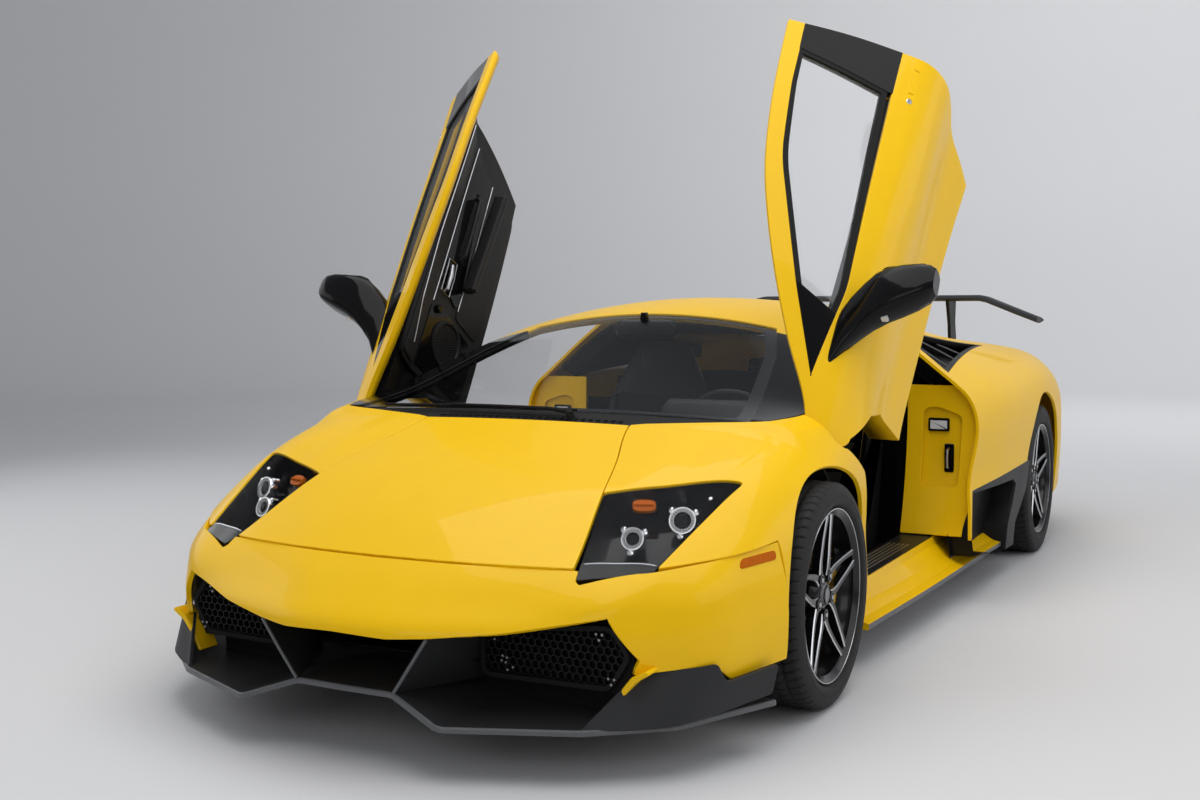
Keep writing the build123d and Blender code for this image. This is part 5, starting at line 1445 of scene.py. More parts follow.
def tyre(build, radius, width):
    """A tyre about x: moulded tread with slanted grooves, ribbed sidewalls, open beads."""
    half = width / 2
    lip = half - RIM_SETBACK - 8
    wall = [
        (lip, 229), (lip + 1, 245), (half - 6, 250), (half - 1, 258), (half, 268), (half - 0.3, 272),
        (half - 1.6, 274), (half - 0.3, 276), (half - 1, 284), (half - 4, radius - 24)
    ]
    shoulder = [(half - 7, radius - 14), (half - 14, radius - 6)]
    tread_half = half - 20
    inner = [(half - 34, radius - 14), (half - 16, 276), (lip - 12, 229)]
    cells, pitches = 8, bpy.context.scene.car_detail.tread
    columns = np.linspace(-tread_half, tread_half, int(tread_half * 2 / 9))
    grooves = np.array([-0.62, -0.22, 0.22, 0.62]) * tread_half
    tread = [(c, radius - 3.0 * (abs(c) / tread_half) ** 3) for c in columns]
    flank = wall + shoulder
    profile = [(-a, r) for a, r in flank] + tread + flank[::-1]
    profile += inner + [(-a, r) for a, r in inner[::-1]]
    count = cells * pitches
    angle = np.linspace(0, 2 * pi, count, endpoint=False)
    rows = []
    for a, r in profile + profile[:1]:
        depth = np.zeros(count)
        if r > radius - 16 and abs(a) <= tread_half + 8:
            if np.min(np.abs(grooves - a)) < 5:
                depth[:] = 6.5
            slant = np.floor(abs(a) / tread_half * 9).astype(int)
            phase = (np.arange(count) + slant + (cells // 2 if a < 0 else 0)) % cells
            depth[(phase < 1) & (abs(a) > 0.26 * tread_half)] = 5.5
        rows.append(
            np.stack([np.full(count, a), (r - depth) * np.cos(angle), (r - depth) * np.sin(angle)], 1)
        )
    build.add(np.concatenate(rows), ladder(count, len(rows)), None, 0)


def bar(build, stations, chamfer=3.0):
    """A wheel spoke: stations of (radius, angle, half width, front x, back x)."""
    rings = []
    for radius, angle, half, front, back in stations:
        out = np.array((0, cos(angle), sin(angle)))
        side = np.array((0, -sin(angle), cos(angle)))
        centre = radius * out
        marks = (
            (back, -half), (front - chamfer, -half), (front, -half + chamfer), (front, half - chamfer),
            (front - chamfer, half), (back, half)
        )
        rings.append(np.array([centre + x * np.array((1, 0, 0)) + w * side for x, w in marks]))
    n = len(rings[0])
    base = np.concatenate(rings)
    for k in range(n):
        faces = []
        for r in range(len(rings) - 1):
            a, b = r * n + k, r * n + (k + 1) % n
            faces.append((a, a + n, b + n, b)[::-1])
        build.add(base, faces, None, 1 if k in (1, 3) else 0)


def rim(build, width):
    """A black rim about x: five bolts, each with two spokes that meet the next bolt's at the lip."""
    edge = width / 2 - RIM_SETBACK
    outer = [
        (edge, FLANGE_RADIUS - 3), (edge - 3, FLANGE_RADIUS), (edge - 10, FLANGE_RADIUS),
        (edge - 12, 229), (edge - 45, 228), (edge - 60, 214)
    ]
    inner = [(edge - 60, 207), (edge - 44, 219), (edge - 14, 221), (edge - 3, 232), (edge, 236)]
    ring = [
        *[(-x, r) for x, r in outer], *[(x, r) for x, r in outer[::-1]],
        *[(x, r) for x, r in inner[::-1]], *[(-x, r) for x, r in inner]
    ]
    lathe(build, ring, (0, 0, 0), 120)
    lathe(
        build, [(edge - 0.2, 241), (edge + 0.6, 240.5), (edge + 0.6, 238.5), (edge - 0.6, 238)],
        (0, 0, 0), 120, 1
    )
    rim_x, hub_x = edge - 9, edge - 26
    for k in range(BOLTS):
        middle = pi / 2 + 2 * pi * k / BOLTS + pi / BOLTS
        for lean in (1, -1):
            stations = []
            for radius, spread, half in SPOKE:
                front = hub_x + (rim_x - hub_x) * (radius / 231) ** 2
                stations.append((radius, middle + lean * radians(spread), half, front, front - 26))
            bar(build, stations)
        bolt = (hub_x + 3, BOLT_CIRCLE * cos(middle), BOLT_CIRCLE * sin(middle))
        lathe(build, [(-30, TIP), (-6, TIP), (-6, 9), (2, 12), (2, 17), (-30, 19)], bolt, 24, 0)
        lathe(build, stud(-8, 5, 6, 8, 2), bolt, 6, 2)
    hub = [(edge - 120, TIP), (hub_x - 2, TIP), (hub_x - 2, 34), (hub_x - 4, 46)]
    hub += [(hub_x - 12, 56), (hub_x - 24, 66), (edge - 120, 66)]
    lathe(build, hub, (0, 0, 0), 60)
    cap = [(hub_x - 4, TIP), (hub_x + 9, TIP), (hub_x + 8, 22), (hub_x + 5, 29), (hub_x - 4, 31)]
    lathe(build, cap, (0, 0, 0), 48, 3)
    lathe(build, [(hub_x + 5, 22), (hub_x + 10, 23), (hub_x + 9, 27), (hub_x + 5, 28)], (0, 0, 0), 48, 0)


def disc_x(width, dish):
    """Where a brake disc's inner face lies, outboard of the wheel's middle."""
    return width / 2 - RIM_SETBACK - dish - DISC_BACK


def brake_disc(build, disc):
    """A brake disc behind the spokes, its drilled holes drawn as dark pins of painted shade."""
    section = [(0, 70), (0, 190), (12, 190), (12, 186), (22, 186), (22, 190), (34, 190), (34, 70)]
    lathe(build, [(disc + x, r) for x, r in section], (0, 0, 0), 96, 4)
    # Dark pins on the outer face stand for the drilled holes: painted shade where the holes would be.
    for k in range(20):
        for j, radius in enumerate((112, 134, 156, 176)):
            angle = 2 * pi * (k + 0.23 * j) / 20
            point = (disc + 34, radius * cos(angle), radius * sin(angle))
            lathe(build, pin(-1, 0.5, 4.2, 4.2), point, 8, 5)
    lathe(
        build, [(disc - 10, 30.4), (disc - 10, 72), (disc + 60, 72), (disc + 60, 30.4)], (0, 0, 0), 48, 0
    )


def make_wheels():
    """Tyres, and rims with their brake discs."""
    for name, (axle_y, axle_z), width, track, dish in TYRES:
        rubber, metal = Build(), Build()
        tyre(rubber, axle_z, width)
        rim(metal, width)
        brake_disc(metal, disc_x(width, dish))
        for side, word in ((1, "left"), (-1, "right")):
            shift = (side * track / 2, axle_y, axle_z)
            for build, kind, looks in (
                (rubber, "tyre", "rubber"),
                (metal, "rim", "wheel machined steel alloy steel under"),
            ):
                copy = (build if side == 1 else build.mirrored()).moved(np.eye(3), shift)
                piece = f"{kind}_{name}_{word}"
                place(copy, piece, looks, f"wheel_{name}_{word}", kind, piece)


# ------------------------------------------------------------------ glass, cowl and wiper
def make_glazing():
    """Windscreen with its printed border, and the rear window."""
    build = Build()
    loop = dense(rounded(grown(mirrored_plan(SCREEN_EDGE), -1.5), 16), 14)
    panel(build, lowered(crown_skin, 1.0), [loop], wall=5, roll=1, step=30)
    clear_area = dense(rounded(mirrored_plan(PRINT_EDGE), 40), 14)
    printed = lowered(crown_skin, 6.5)
    panel(build, printed, [loop], [clear_area], wall=1.2, roll=0.2, step=30, paint=1)
    prism(build, rounded(rect(-379, 379, 831, 984), 18), "xz", 428, 434, 1)
    prism(build, rounded(trapeze(14, 1052, 10, 1086), 3), "xz", -626, -606, 2, 1)
    head = rounded(trapeze(118, 1004, 112, 1060), 20)
    prism(build, head, "xz", -616, -586, 6, 1)
    prism(build, grown(head, -6), "xz", -587, -585, 0.5, 2)
    place(build, "screens", "glass gloss chrome", "body", "glass", "glazing")


WIPER_ARM = (  # x, y and rise over the skin
    (136, -1396, -2), (132, -1396, 12), (60, -1391, 16), (-120, -1382, 14), (-300, -1377, 15),
)


def make_cowl():
    """Cowl below the windscreen, with its grating and the parked wiper."""
    build = Build()
    screen = dense(grown(mirrored_plan(SCREEN_EDGE), 1.5), 14)
    panel(build, lowered(crown_skin, 8), [edge_band(-1428, -1330, -6)], [screen], wall=6, roll=2, step=18)
    for k in range(26):
        x = -310 + k * 24.8
        z = spot(crown_skin, x, -1398)[2]
        box(build, (x - 3, x + 3), (-1424, -1376), (z - 9, z - 5.5), 1, 1)

    def above(x, y, rise):
        return spot(crown_skin, x, y) + (0, 0, rise)

    tube(build, [above(*p) for p in WIPER_ARM], (9, 8, 6, 5, 4), 10, 0)
    blade = [above(x, -1376 - 0.018 * x, 9) for x in np.linspace(150, -560, 24)]
    tube(build, blade, 4.2, 8, 2)
    pivot, turn = above(*WIPER_ARM[0][:2], 0), facing((0, -0.2, 1), (0, 1, 0))
    lathe(build, [(-14, TIP), (16, TIP), (14, 10), (-14, 15)], pivot, 24, 0, turn=turn)
    place(build, "cowl_panel", "seal under seal", "body", "black_trim", "cowl")


# ------------------------------------------------------------------ flanks
JAMB_REACH = DOOR_REACH + 30
JAMB_X = 704
SCOOP_BLADE = (
    (200, 404), (205, 412), (985, 447), (1010, 440), (985, 330), (760, 128), (688, 128), (772, 300),
    (796, 372), (740, 396),
)
SCOOP_MOUTH = (
    (130, 240), (202, 404), (760, 420), (800, 380), (776, 300), (700, 180), (640, 150), (130, 150),
)
STRIKER = ((866, 216, 492), (866, 196, 496), (866, 190, 528), (866, 196, 560), (866, 216, 564))
SILL_LIPS = ((-905, 899), (-300, 928), (110, 941), (440, 950), (740, 962))  # y and x


def make_sills():
    """Side skirts with a grey lower edge, and the black treads in the doorways."""
    build = Build()
    ys, lips = np.array(SILL_LIPS, float).T
    rings = []
    for y in np.linspace(-903, 738, 60):
        lip = monotone(np.array([y]), ys, lips)[0]
        outline = [(791, 121), (lip, 118), (lip + 3, 123), (lip + 2, 137), (lip - 30, 146)]
        outline += [(lip - 66, 170), (834, 212), (826, 236), (791, 236)]
        rings.append([(x, y, z) for x, z in outline])
    rings, n = np.array(rings), len(outline)
    from_axle = np.hypot(rings[..., 1] - FRONT_AXLE[0], rings[..., 2] - FRONT_AXLE[1])
    clear_of_wheel = (from_axle > FRONT_ARCH_RADIUS + 2).reshape(-1)
    corners = rings.reshape(-1, 3)
    for face in ladder(n, 60):
        if clear_of_wheel[list(face)].all():
            build.add(corners[list(face)], [(0, 1, 2, 3)], None, 1 if min(face) % n < 3 else 0)
    build.add(rings[-1], [tuple(range(n))], None, 1)
    build.add(rings[0], [tuple(range(n))[::-1]], None, 0)
    prism(build, rounded(((706, -925), (824, -890), (824, 196), (706, 196)), 10), "xy", 235, 239, 1.5, 2)
    for k in range(5):
        x = 722 + 17 * k
        box(build, (x, x + 5), (-700, -60), (238, 240.5), 0.8, 3)
    build.mirror()
    place(build, "side_skirts", "paint edge satin steel", "body", "paint", "sills")


def bowl(build, loop, depth, pull, paint):
    """A recess below a loop on the side skin: its walls and its floor."""
    y, s = loop[:, 0], loop[:, 1]
    near, far = lowered(side_skin, 3)(y, s), lowered(side_skin, depth)(y, s)
    far = far + pull * (far.mean(0) - far)
    rings = [near, far] if area_of(loop * (1, SKIN_STRETCH)) < 0 else [near[::-1], far[::-1]]
    loft(build, rings, paint, caps=False)
    sunk_panel(build, depth - 3, [loop], wall=3, roll=0.5, step=26, paint=paint)


def make_side_intakes():
    """The triangular intakes behind the doors, and the scoops before the rear wheels."""
    build = Build()
    upper = from_plan(grown(rounded(INTAKE_OUTLINE, 8), -2))
    bowl(build, upper, 78, 0.06, 0)
    lining = from_plan(grown(rounded(INTAKE_OUTLINE, 8), -14))
    sunk_panel(build, 1.5, [upper], [lining], wall=30, roll=1.5)
    for k in range(3):
        start, end = 400 + 210 * k, 330 + 230 * k
        ends = zip(np.linspace(start, end + 130, 16), np.linspace(0.06, 0.98, 16))
        line = [side_point(a, b, 26) for a, b in ends]
        tube(build, line, 4, 8, 2)
    sunk_panel(build, 0.5, [from_side(rounded(SCOOP_BLADE, 4))], wall=16, roll=3, paint=3)
    bowl(build, from_side(rounded(SCOOP_MOUTH, 14)), 96, 0.05, 0)
    build.mirror()
    place(build, "side_intakes", "satin gloss edge grey", "body", "black_trim", "side_intakes")


def make_jambs():
    """The doors' shut faces on the quarters, with a courtesy lamp and the striker."""
    build = Build()

    def arc_y(z, reach):
        return HINGE[0] + np.sqrt(reach**2 - (z - HINGE[1]) ** 2)

    def face(x, z):
        return np.stack([x, arc_y(z, JAMB_REACH), z], 1)

    def set_back(x, z):
        return face(x, z) + (0, 14, 0)

    def skin_x(reach, inset):
        ys = arc_y(heights, reach)
        return BODY.across(ys, BODY.place(ys, heights, 1))[:, 0] - inset

    heights = np.linspace(246, 800, 40)
    edge = skin_x(JAMB_REACH, 9)
    outline = [*zip(edge, heights), (JAMB_X, 800), (JAMB_X, 246)]
    recess = rounded(((762, 420), (905, 420), (912, 690), (812, 724), (762, 712)), 26)
    hole, floor = dense(recess, 10), dense(grown(recess, 6), 10)
    panel(build, face, [dense(outline, 12)], [hole], outward=(0, -1, 0), wall=8, roll=1.5, step=20)
    panel(build, set_back, [floor], outward=(0, -1, 0), wall=4, roll=1, step=20)
    shut = DOOR_REACH + SHUT + ROLL + 2
    lip = np.stack([skin_x(shut, 9), arc_y(heights, shut) + 1, heights], 1)
    for flip in (False, True):
        build.add(np.concatenate([lip, face(edge, heights)]), ladder(len(lip), 2, flip, False))
    for x, z, tall, wide, kind in ((822, 652, 50, 40, "lamp"), (866, 528, 108, 18, "striker")):
        y = arc_y(z, JAMB_REACH) + 11
        frame_loop = rounded(rect(x - wide, x + wide, z - tall / 2, z + tall / 2), 7)
        prism(build, frame_loop, "xz", y - 10, y, 2, 1)
        prism(build, grown(frame_loop, -8), "xz", y - 13, y - 9, 1, 2 if kind == "lamp" else 1)
    tube(build, STRIKER, 5, 10, 3)
    build.mirror()
    # The shut faces wear the darker jamb paint: painted shade.
    place(build, "door_jambs", "jamb gloss lit steel", "body", "paint")


# ------------------------------------------------------------------ engine lid, tail and wing
def make_slats():
    """Louvres over the engine, in a black frame in the lid's opening."""
    build = Build()
    hole = rounded(trapeze(*LID_HOLE), 30)
    front_half, front, rear_half, rear = LID_HOLE
    border, light = dense(grown(hole, -1), 14), dense(grown(hole, -26), 14)
    panel(build, lowered(crown_skin, 3), [border], [light], wall=16, roll=2, step=24)
    count = bpy.context.scene.car_detail.slats
    pitch = 936 / count
    depth = 0.756 * pitch  # of one louvre; the rest is its gap
    for k in range(count):
        start = 672 + pitch * k

        def slat(x, y, start=start):
            return crown_skin(x, y) - np.stack([0 * x, 0 * x, 6 + 0.20 * (start + depth - y)], 1)

        half = [np.interp(y, (front, rear), (front_half, rear_half)) - 22 for y in (start, start + depth)]
        loop = [(-half[0], start), (half[0], start), (half[1], start + depth), (-half[1], start + depth)]
        panel(build, slat, [dense(rounded(loop, 8), 14)], wall=7, roll=2.5, step=26, paint=1)
    place(build, "lid_slats", "gloss satin", "engine_lid", "black_trim")


TAIL_GRILLE = trapeze(560, 610, 590, 820)
TAIL_MOUTH = trapeze(596, 240, 518, 468)
TAIL_LAMP = ((600, 640), (790, 660), (770, 800), (620, 815))
TAIL_Y = 2352
PIPE = (  # y, and growth of the exhaust's section
    (1995, -4), (2300, -4), (TAIL_Y - 4, -3), (TAIL_Y - 1, -5), (TAIL_Y - 1, -9), (TAIL_Y - 6, -11),
    (2060, -11),
)
STRUT_X = 415


def make_tail():
    """Tail: deck edge, flanks, lamp panel and bumper bar."""
    build = Build()
    crown_panel(build, [edge_band(LID_REAR_Y + 3, TAIL_FACE_Y - 2, -1)], [])
    flank = Build()
    side_panel(flank, [span(FASCIA_Y + 1, TAIL_FACE_Y - 2, 0.0)], [])
    flank.mirror()
    build.take(flank)
    y = np.array([TAIL_FACE_Y - 2.0])
    s = np.linspace(0, 4.0, 40)
    half = [(p[0] - 3, p[1] - 3) for p in (BODY.across(y, np.array([k]))[0] for k in s)] + [(870, 300)]
    top = [(x, crown_skin(np.array([x]), y)[0, 2] - 3) for x in np.linspace(0, half[0][0], 12)[:-1]]
    outline = [*top, *half, *[(-x, z) for x, z in half[::-1]], *[(-x, z) for x, z in top[:0:-1]]]
    lamp = rounded(TAIL_LAMP, 10)
    cuts = [dense(rounded(hole, 10), 14) for hole in (TAIL_GRILLE, TAIL_MOUTH)]
    cuts[1:1] = [dense(lamp, 10), dense([(-x, z) for x, z in lamp], 10)]
    face = upright(TAIL_FACE_Y)
    panel(build, face, [dense(outline, 14)], cuts, outward=(0, 1, 0), wall=16, roll=2.5, step=26)
    bumper = [(868, TAIL_FACE_Y), (850, 2326), (760, 2344), (600, TAIL_Y)]
    bumper = [(-868, TAIL_FACE_Y), *bumper, *[(-x, y) for x, y in bumper[:0:-1]]]
    prism(build, rounded(bumper, 20), "xy", 474, 560, 9)
    for side in (1, -1):
        ledge = ((530, TAIL_FACE_Y), (868, TAIL_FACE_Y), (850, 2326), (760, 2343), (540, TAIL_Y - 1))
        prism(build, rounded([(side * x, y) for x, y in ledge], 12), "xy", 402, 476, 6)
    place(build, "tail_panels", "paint", "body", "paint", "rear_fascia")
    lamps = Build()
    for k in (0, 1):
        level = TAIL_FACE_Y + 2 * k
        prism(lamps, grown(lamp, -2 - 14 * k), "xz", level - 16 + 4 * k, level + 4, 4, k)
    for x in (648, 696, 744):
        centre = (x, TAIL_FACE_Y + 5, 730 + (x - 696) * 0.05)
        bulb = [(-2, TIP), (5, TIP), (4, 14), (2, 17), (-2, 18)]
        lathe(lamps, bulb, centre, 24, 2, turn=facing((0, 1, 0)))
    lamps.mirror()
    place(lamps, "tail_lamps", "gloss red amber", "body", "tail_lamp", "tail_lamps")


def make_diffuser():
    """Rear diffuser with its fins, and the exhaust's box."""
    build = Build()
    ramp = ((1986, 119), (TAIL_Y - 14, 236), (TAIL_Y - 14, 249), (1986, 128))
    prism(build, ramp, "yz", -598, 598, 2)
    for x in (-596, -300, 300, 596):
        fin = rounded(((2002, 113), (TAIL_Y - 9, 152), (TAIL_Y - 9, 328), (2300, 332), (2102, 250)), 8)
        prism(build, fin, "yz", x - 5, x + 5, 2)
    opening = dense(rounded(rect(-152, 152, 298, 422), 18), 10)
    back = dense(rounded(trapeze(590, 245, 514, 464), 6), 14)
    panel(build, upright(2294), [back], [opening], outward=(0, 1, 0), wall=10, roll=2, step=26, paint=1)
    place(build, "diffuser", "grey satin", "body", "dark_grey", "diffuser")
    pipe = Build()
    rings = []
    for y, growth in PIPE:
        loop = grown(rounded(rect(-150, 150, 300, 420), 26), growth)
        rings.append([(x, y, z) for x, z in loop[::-1]])
    loft(pipe, rings, 0)
    for x in (-75, 0, 75):
        prism(pipe, rect(x - 2, x + 2, 312, 408), "xz", 2080, TAIL_Y - 30, 0.5, 1)
    place(pipe, "exhaust_box", "steel iron", "body", "aluminium", "exhaust")


def make_rear_wing():
    """Rear wing: a flat centre with drooped tips on two struts."""
    build = Build()
    chord = np.linspace(0, 1, 14)
    thick = 2.0 * np.sqrt(chord) * (1 - chord) + 0.12
    rings = []
    for x in (-856, -840, -760, -660, -606, -570, -300, 0, 300, 570, 606, 660, 760, 840, 856):
        a = abs(x)
        droop = 0 if a < 588 else (a - 588) * 0.41
        tip = max(0.0, (a - 780) / 76)
        front, rear = 1968 + 34 * tip, 2212 - 14 * tip
        ys = front + (rear - front) * chord
        over, under = np.stack([ys, 20 * thick], 1), np.stack([ys, -15 * thick], 1)
        shape = np.concatenate([over, under[::-1]])
        rings.append([(x, y, 1129 - droop + z) for y, z in shape])
    loft(build, [r[::-1] for r in rings])
    for side in (1, -1):
        x = side * STRUT_X
        foot = ((2002, 1124), (2172, 1124), (2160, 1010), (2185, 918), (2062, 926), (2052, 1000))
        prism(build, rounded(foot, 12), "yz", x - 8, x + 8, 4, 1)
        z = spot(crown_skin, STRUT_X, 2120)[2]
        box(build, (x - 24, x + 24), (2050, 2196), (z - 2, z + 5), 2, 1)
    place(build, "rear_wing", "grey satin", "body", "dark_grey", "rear_wing")


# ------------------------------------------------------------------ cabin
DASH_REAR, DASH_TOP, DASH_LOW = (-852, 759), (-794, 715), (-823, 563)  # y and z
HOOD_LOW, HOOD_TOP = (-803, 717), (-782, 797)
CONSOLE_TOP, CONSOLE_FOOT = (-815, 598), (-563, 431)


def lean(start, end, off):
    """A sloping face across the car, from x and the way along it, lifted by an offset."""
    start, run = np.array(start, float), np.subtract(end, start)
    along = run / np.linalg.norm(run)
    start = start + off * np.array((along[1], -along[0]))
    return lambda x, t: np.stack([x, start[0] + t * along[0], start[1] + t * along[1]], 1)


def cabin_panel(build, face, keep, cut=(), **more):
    """A piece on one of the cabin's sloping faces."""
    return panel(build, face, keep, cut, outward=(0, 1, 0.5), **more)


def make_dashboard():
    """Dashboard with its hood, dials, vents, screen, and the centre console with the gear lever."""
    build = Build()
    profile = rounded(
        ((-1086, 545), (-1086, 736), DASH_REAR, DASH_TOP, DASH_LOW, (-930, 523)), (4, 20, 30, 26, 22, 10)
    )
    prism(build, profile, "yz", -688, 688, 12)
    hood = rounded(((-938, 742), (-902, 812), HOOD_TOP, HOOD_LOW), (10, 34, 20, 6))
    prism(build, hood, "yz", 198, 522, 26)
    face = lean(HOOD_LOW, HOOD_TOP, 1.0)
    dials = rounded(((222, 8), (498, 8), (486, 70), (430, 78), (290, 78), (234, 70)), 14)
    cabin_panel(build, face, [dials], wall=3, roll=1.5, paint=1)
    turn = facing((0, 0.967, -0.254))
    for x, t, radius in ((312, 38, 33), (408, 38, 33), (248, 34, 20), (472, 34, 20)):
        centre = spot(face, x, t)
        bezel = [(-2, TIP), (1.2, TIP), (1.2, radius - 3), (4, radius - 2), (4, radius), (-2, radius)]
        lathe(build, bezel, centre, 40, 3, turn=turn)
        lathe(build, pin(1, 1.8, radius - 4, radius - 4), centre, 40, 2, turn=turn)
        reach = (radius - 8) * 0.7
        needle = [centre + turn @ np.array(p) for p in ((2.6, 0, 0), (2.6, reach, -reach))]
        tube(build, needle, (1.4, 0.5), 6, 4)
        for k in range(13):
            a = radians(-130 + 260 * k / 12)
            mark = centre + turn @ np.array((2.0, (radius - 7) * sin(a), (radius - 7) * cos(a)))
            lathe(build, pin(-0.5, 0.6, 1.1, 1.1), mark, 6, 5, turn=turn)
    duct, front, screen = (lean(DASH_LOW, DASH_TOP, off) for off in (0.3, 1.5, 2.5))
    for x, half in ((-64, 50), (64, 50), (-612, 46), (612, 46)):
        loop = rounded(rect(x - half, x + half, 96, 138), 12)
        cabin_panel(build, front, [loop], [grown(loop, -7)], wall=6, roll=1.5, paint=1)
        cabin_panel(build, duct, [grown(loop, -6)], wall=2, roll=0.5, paint=2)
        for k in range(3):
            t = 105 + 11 * k
            cabin_panel(
                build, front, [rect(x - half + 9, x + half - 9, t, t + 5)], wall=3, roll=1, paint=1
            )
    cabin_panel(build, front, [rounded(rect(-96, 96, 18, 88), 8)], wall=5, roll=2, paint=1)
    cabin_panel(build, screen, [rounded(rect(-62, 62, 26, 80), 4)], wall=2, roll=0.6, paint=2)
    for x in (-80, 80):
        for t in (34, 53, 72):
            centre = spot(front, x, t)
            lathe(build, stud(-2, 6, 4.5, 6, 1), centre, 20, 3, turn=facing((0, 0.98, -0.19)))
    cabin_panel(build, front, [rounded(rect(-560, -180, 16, 84), 14)], wall=5, roll=3)
    stitch = lean(DASH_REAR, DASH_TOP, 1.2)
    for k in range(104):
        x = -680 + 13 * k
        if not 190 < x < 530:
            ends = stitch(np.array([x, x + 7.5]), np.array([6.0, 6.0]))
            tube(build, ends, 0.9, 5, 4)
    side = rounded(((-998, 598), CONSOLE_TOP, CONSOLE_FOOT, (-563, 362), (-998, 362)), (6, 26, 30, 10, 6))
    prism(build, side, "yz", -113, 113, 14)
    top = lean(CONSOLE_FOOT, CONSOLE_TOP, -1.5)
    cabin_panel(build, top, [rounded(rect(-84, 84, 40, 270), 14)], wall=4, roll=2, paint=1)
    gate, slot = rounded(rect(-44, 44, 60, 150), 8), rect(-2, 2, 76, 134)
    low = lean(CONSOLE_FOOT, CONSOLE_TOP, -3.5)
    cabin_panel(build, low, [gate], [slot], wall=3, roll=0.8, paint=3)
    foot = spot(top, 0, 104)
    tube(build, [foot, foot + (0, 12, 40), foot + (0, 16, 84)], (5, 4.5, 4.5), 12, 3)
    ball = [(19 * cos(a), 19 * sin(a)) for a in np.linspace(0.01, pi - 0.01, 14)]
    lathe(build, ball, foot + (0, 17, 96), 24, 0, closed=False, turn=facing((0, 0, 1), (0, 1, 0)))
    for k in range(6):
        centre = spot(top, -60 + 24 * k, 198)
        lathe(build, stud(-2, 5, 6, 8, 1), centre, 16, 2, turn=facing((0, 0.55, 0.83)))
    place(build, "dashboard_trim", "hide satin gloss steel stitch lit", "body", "interior", "dashboard")


def make_steering_wheel():
    """Steering wheel: a flat-bottomed stitched rim, three spokes, and its column."""
    build = Build()
    angle = np.linspace(0, 2 * pi, 72, endpoint=False)
    line = [(0, 172 * cos(a), max(172 * sin(a), -150)) for a in angle]
    tube(build, line, 13, 14, 0, close=True)
    for k in range(72):
        a = angle[k]
        point = np.array((0, 159.5 * cos(a), max(159.5 * sin(a), -138)))
        tube(build, [point + (-2.5, 0, 0), point + (2.5, -1.5 * sin(a), 1.5 * cos(a))], 0.9, 5, 2)
    hub = superellipse((0, 0, -6), (0, 52, 0), (0, 0, 46), 3.2, 32)[:, 1:]
    prism(build, hub, "yz", -22, 10, 9)
    prism(build, grown(hub, -22), "yz", 9, 12, 1.2, 1)
    spoke = ((40, 22), (166, 16), (166, -14), (40, -26))
    for sign in (1, -1):
        prism(build, rounded([(sign * y, z) for y, z in spoke], 8), "yz", -7, 5, 3, 1)
    prism(build, rounded(trapeze(26, -40, 20, -146), 8), "yz", -7, 5, 3, 1)
    prism(build, rounded(trapeze(9, -52, 7, -132), 4), "yz", 4, 6.5, 1, 3)
    lathe(build, [(-215, TIP), (-215, 18), (-70, 18), (-64, 34), (-22, 34), (-22, TIP)], (0, 0, 0), 32, 1)
    turned = build.moved(facing((0, 0.9063, 0.4226)), (360, -640, 665))
    place(turned, "wheel_rim", "hide satin stitch steel", "steering_wheel", "interior", "steering_wheel")


# side outlines of y and z
BOLSTER = (
    (-468, 152), (-497, 328), (-440, 357), (88, 302), (232, 700), (250, 742), (340, 742), (212, 152),
)
SEAT_SHELL = (
    (-498, 152), (-517, 296), (-62, 246), (84, 268), (216, 622), (224, 742), (344, 742), (212, 152),
)


def pads(build, line, count, half, thick):
    """Rolled flutes of upholstery along a side line of y and z."""
    p = np.array(line, float)
    for k in range(count):
        a, b = p[0] + (p[1] - p[0]) * (k + 0.04) / count, p[0] + (p[1] - p[0]) * (k + 0.96) / count
        n = np.array((-(b - a)[1], (b - a)[0]))
        n = thick * n / np.linalg.norm(n)
        outline = rounded((a - n * 0.5, b - n * 0.5, b + n, a + n), (2, 2, thick * 0.45, thick * 0.45))
        prism(build, outline, "yz", -half, half, 12)


def make_seats():
    """Two bucket seats: shells, bolsters, fluted pads and headrests."""
    seat = Build()
    bolster = rounded(BOLSTER, (20, 26, 20, 50, 40, 20, 20, 30))
    for sign in (1, -1):
        prism(seat, bolster, "yz", sign * 168, sign * 232, 24)
    shell = rounded(SEAT_SHELL, (10, 20, 20, 30, 20, 10, 20, 30))
    prism(seat, shell, "yz", -170, 170, 4, 1)
    flutes = bpy.context.scene.car_detail.flutes
    pads(seat, ((-506, 298), (-66, 249)), flutes, 160, 24)
    pads(seat, ((92, 292), (212, 628)), flutes, 160, 22)
    rings = []
    for z in np.linspace(734, 952, 12):
        share = (z - 734) / 218
        half = 218 - 104 * share - 12 * share**6
        front, rear = 222 + 74 * share + 16 * share**5, 350 - 6 * share**5
        middle = (0, (front + rear) / 2, z)
        rings.append(superellipse(middle, (half, 0, 0), (0, (rear - front) / 2, 0), 3.4, 40))
    loft(seat, rings, 0)
    rings = []
    for z in np.linspace(800, 926, 7):
        share = abs(z - 863) / 63
        middle, half, deep = (0, 262 + (z - 800) * 0.3, z), 92 - 16 * share**4, 22 - 12 * share**4
        rings.append(superellipse(middle, (half, 0, 0), (0, deep, 0), 3, 32))
    loft(seat, rings, 0)
    for sign in (1, -1):
        for k in range(30):
            y, z = 92 + (214 - 92) * k / 30, 312 + (628 - 312) * k / 30
            tube(seat, [(sign * 176, y - 14, z), (sign * 176, y - 11, z + 6)], 0.9, 5, 2)
    build = Build()
    for sign in (1, -1):
        build.take(seat.moved(np.eye(3), (sign * 365, 0, 0)))
    place(build, "seat_pair", "hide satin stitch", "body", "interior", "seats")


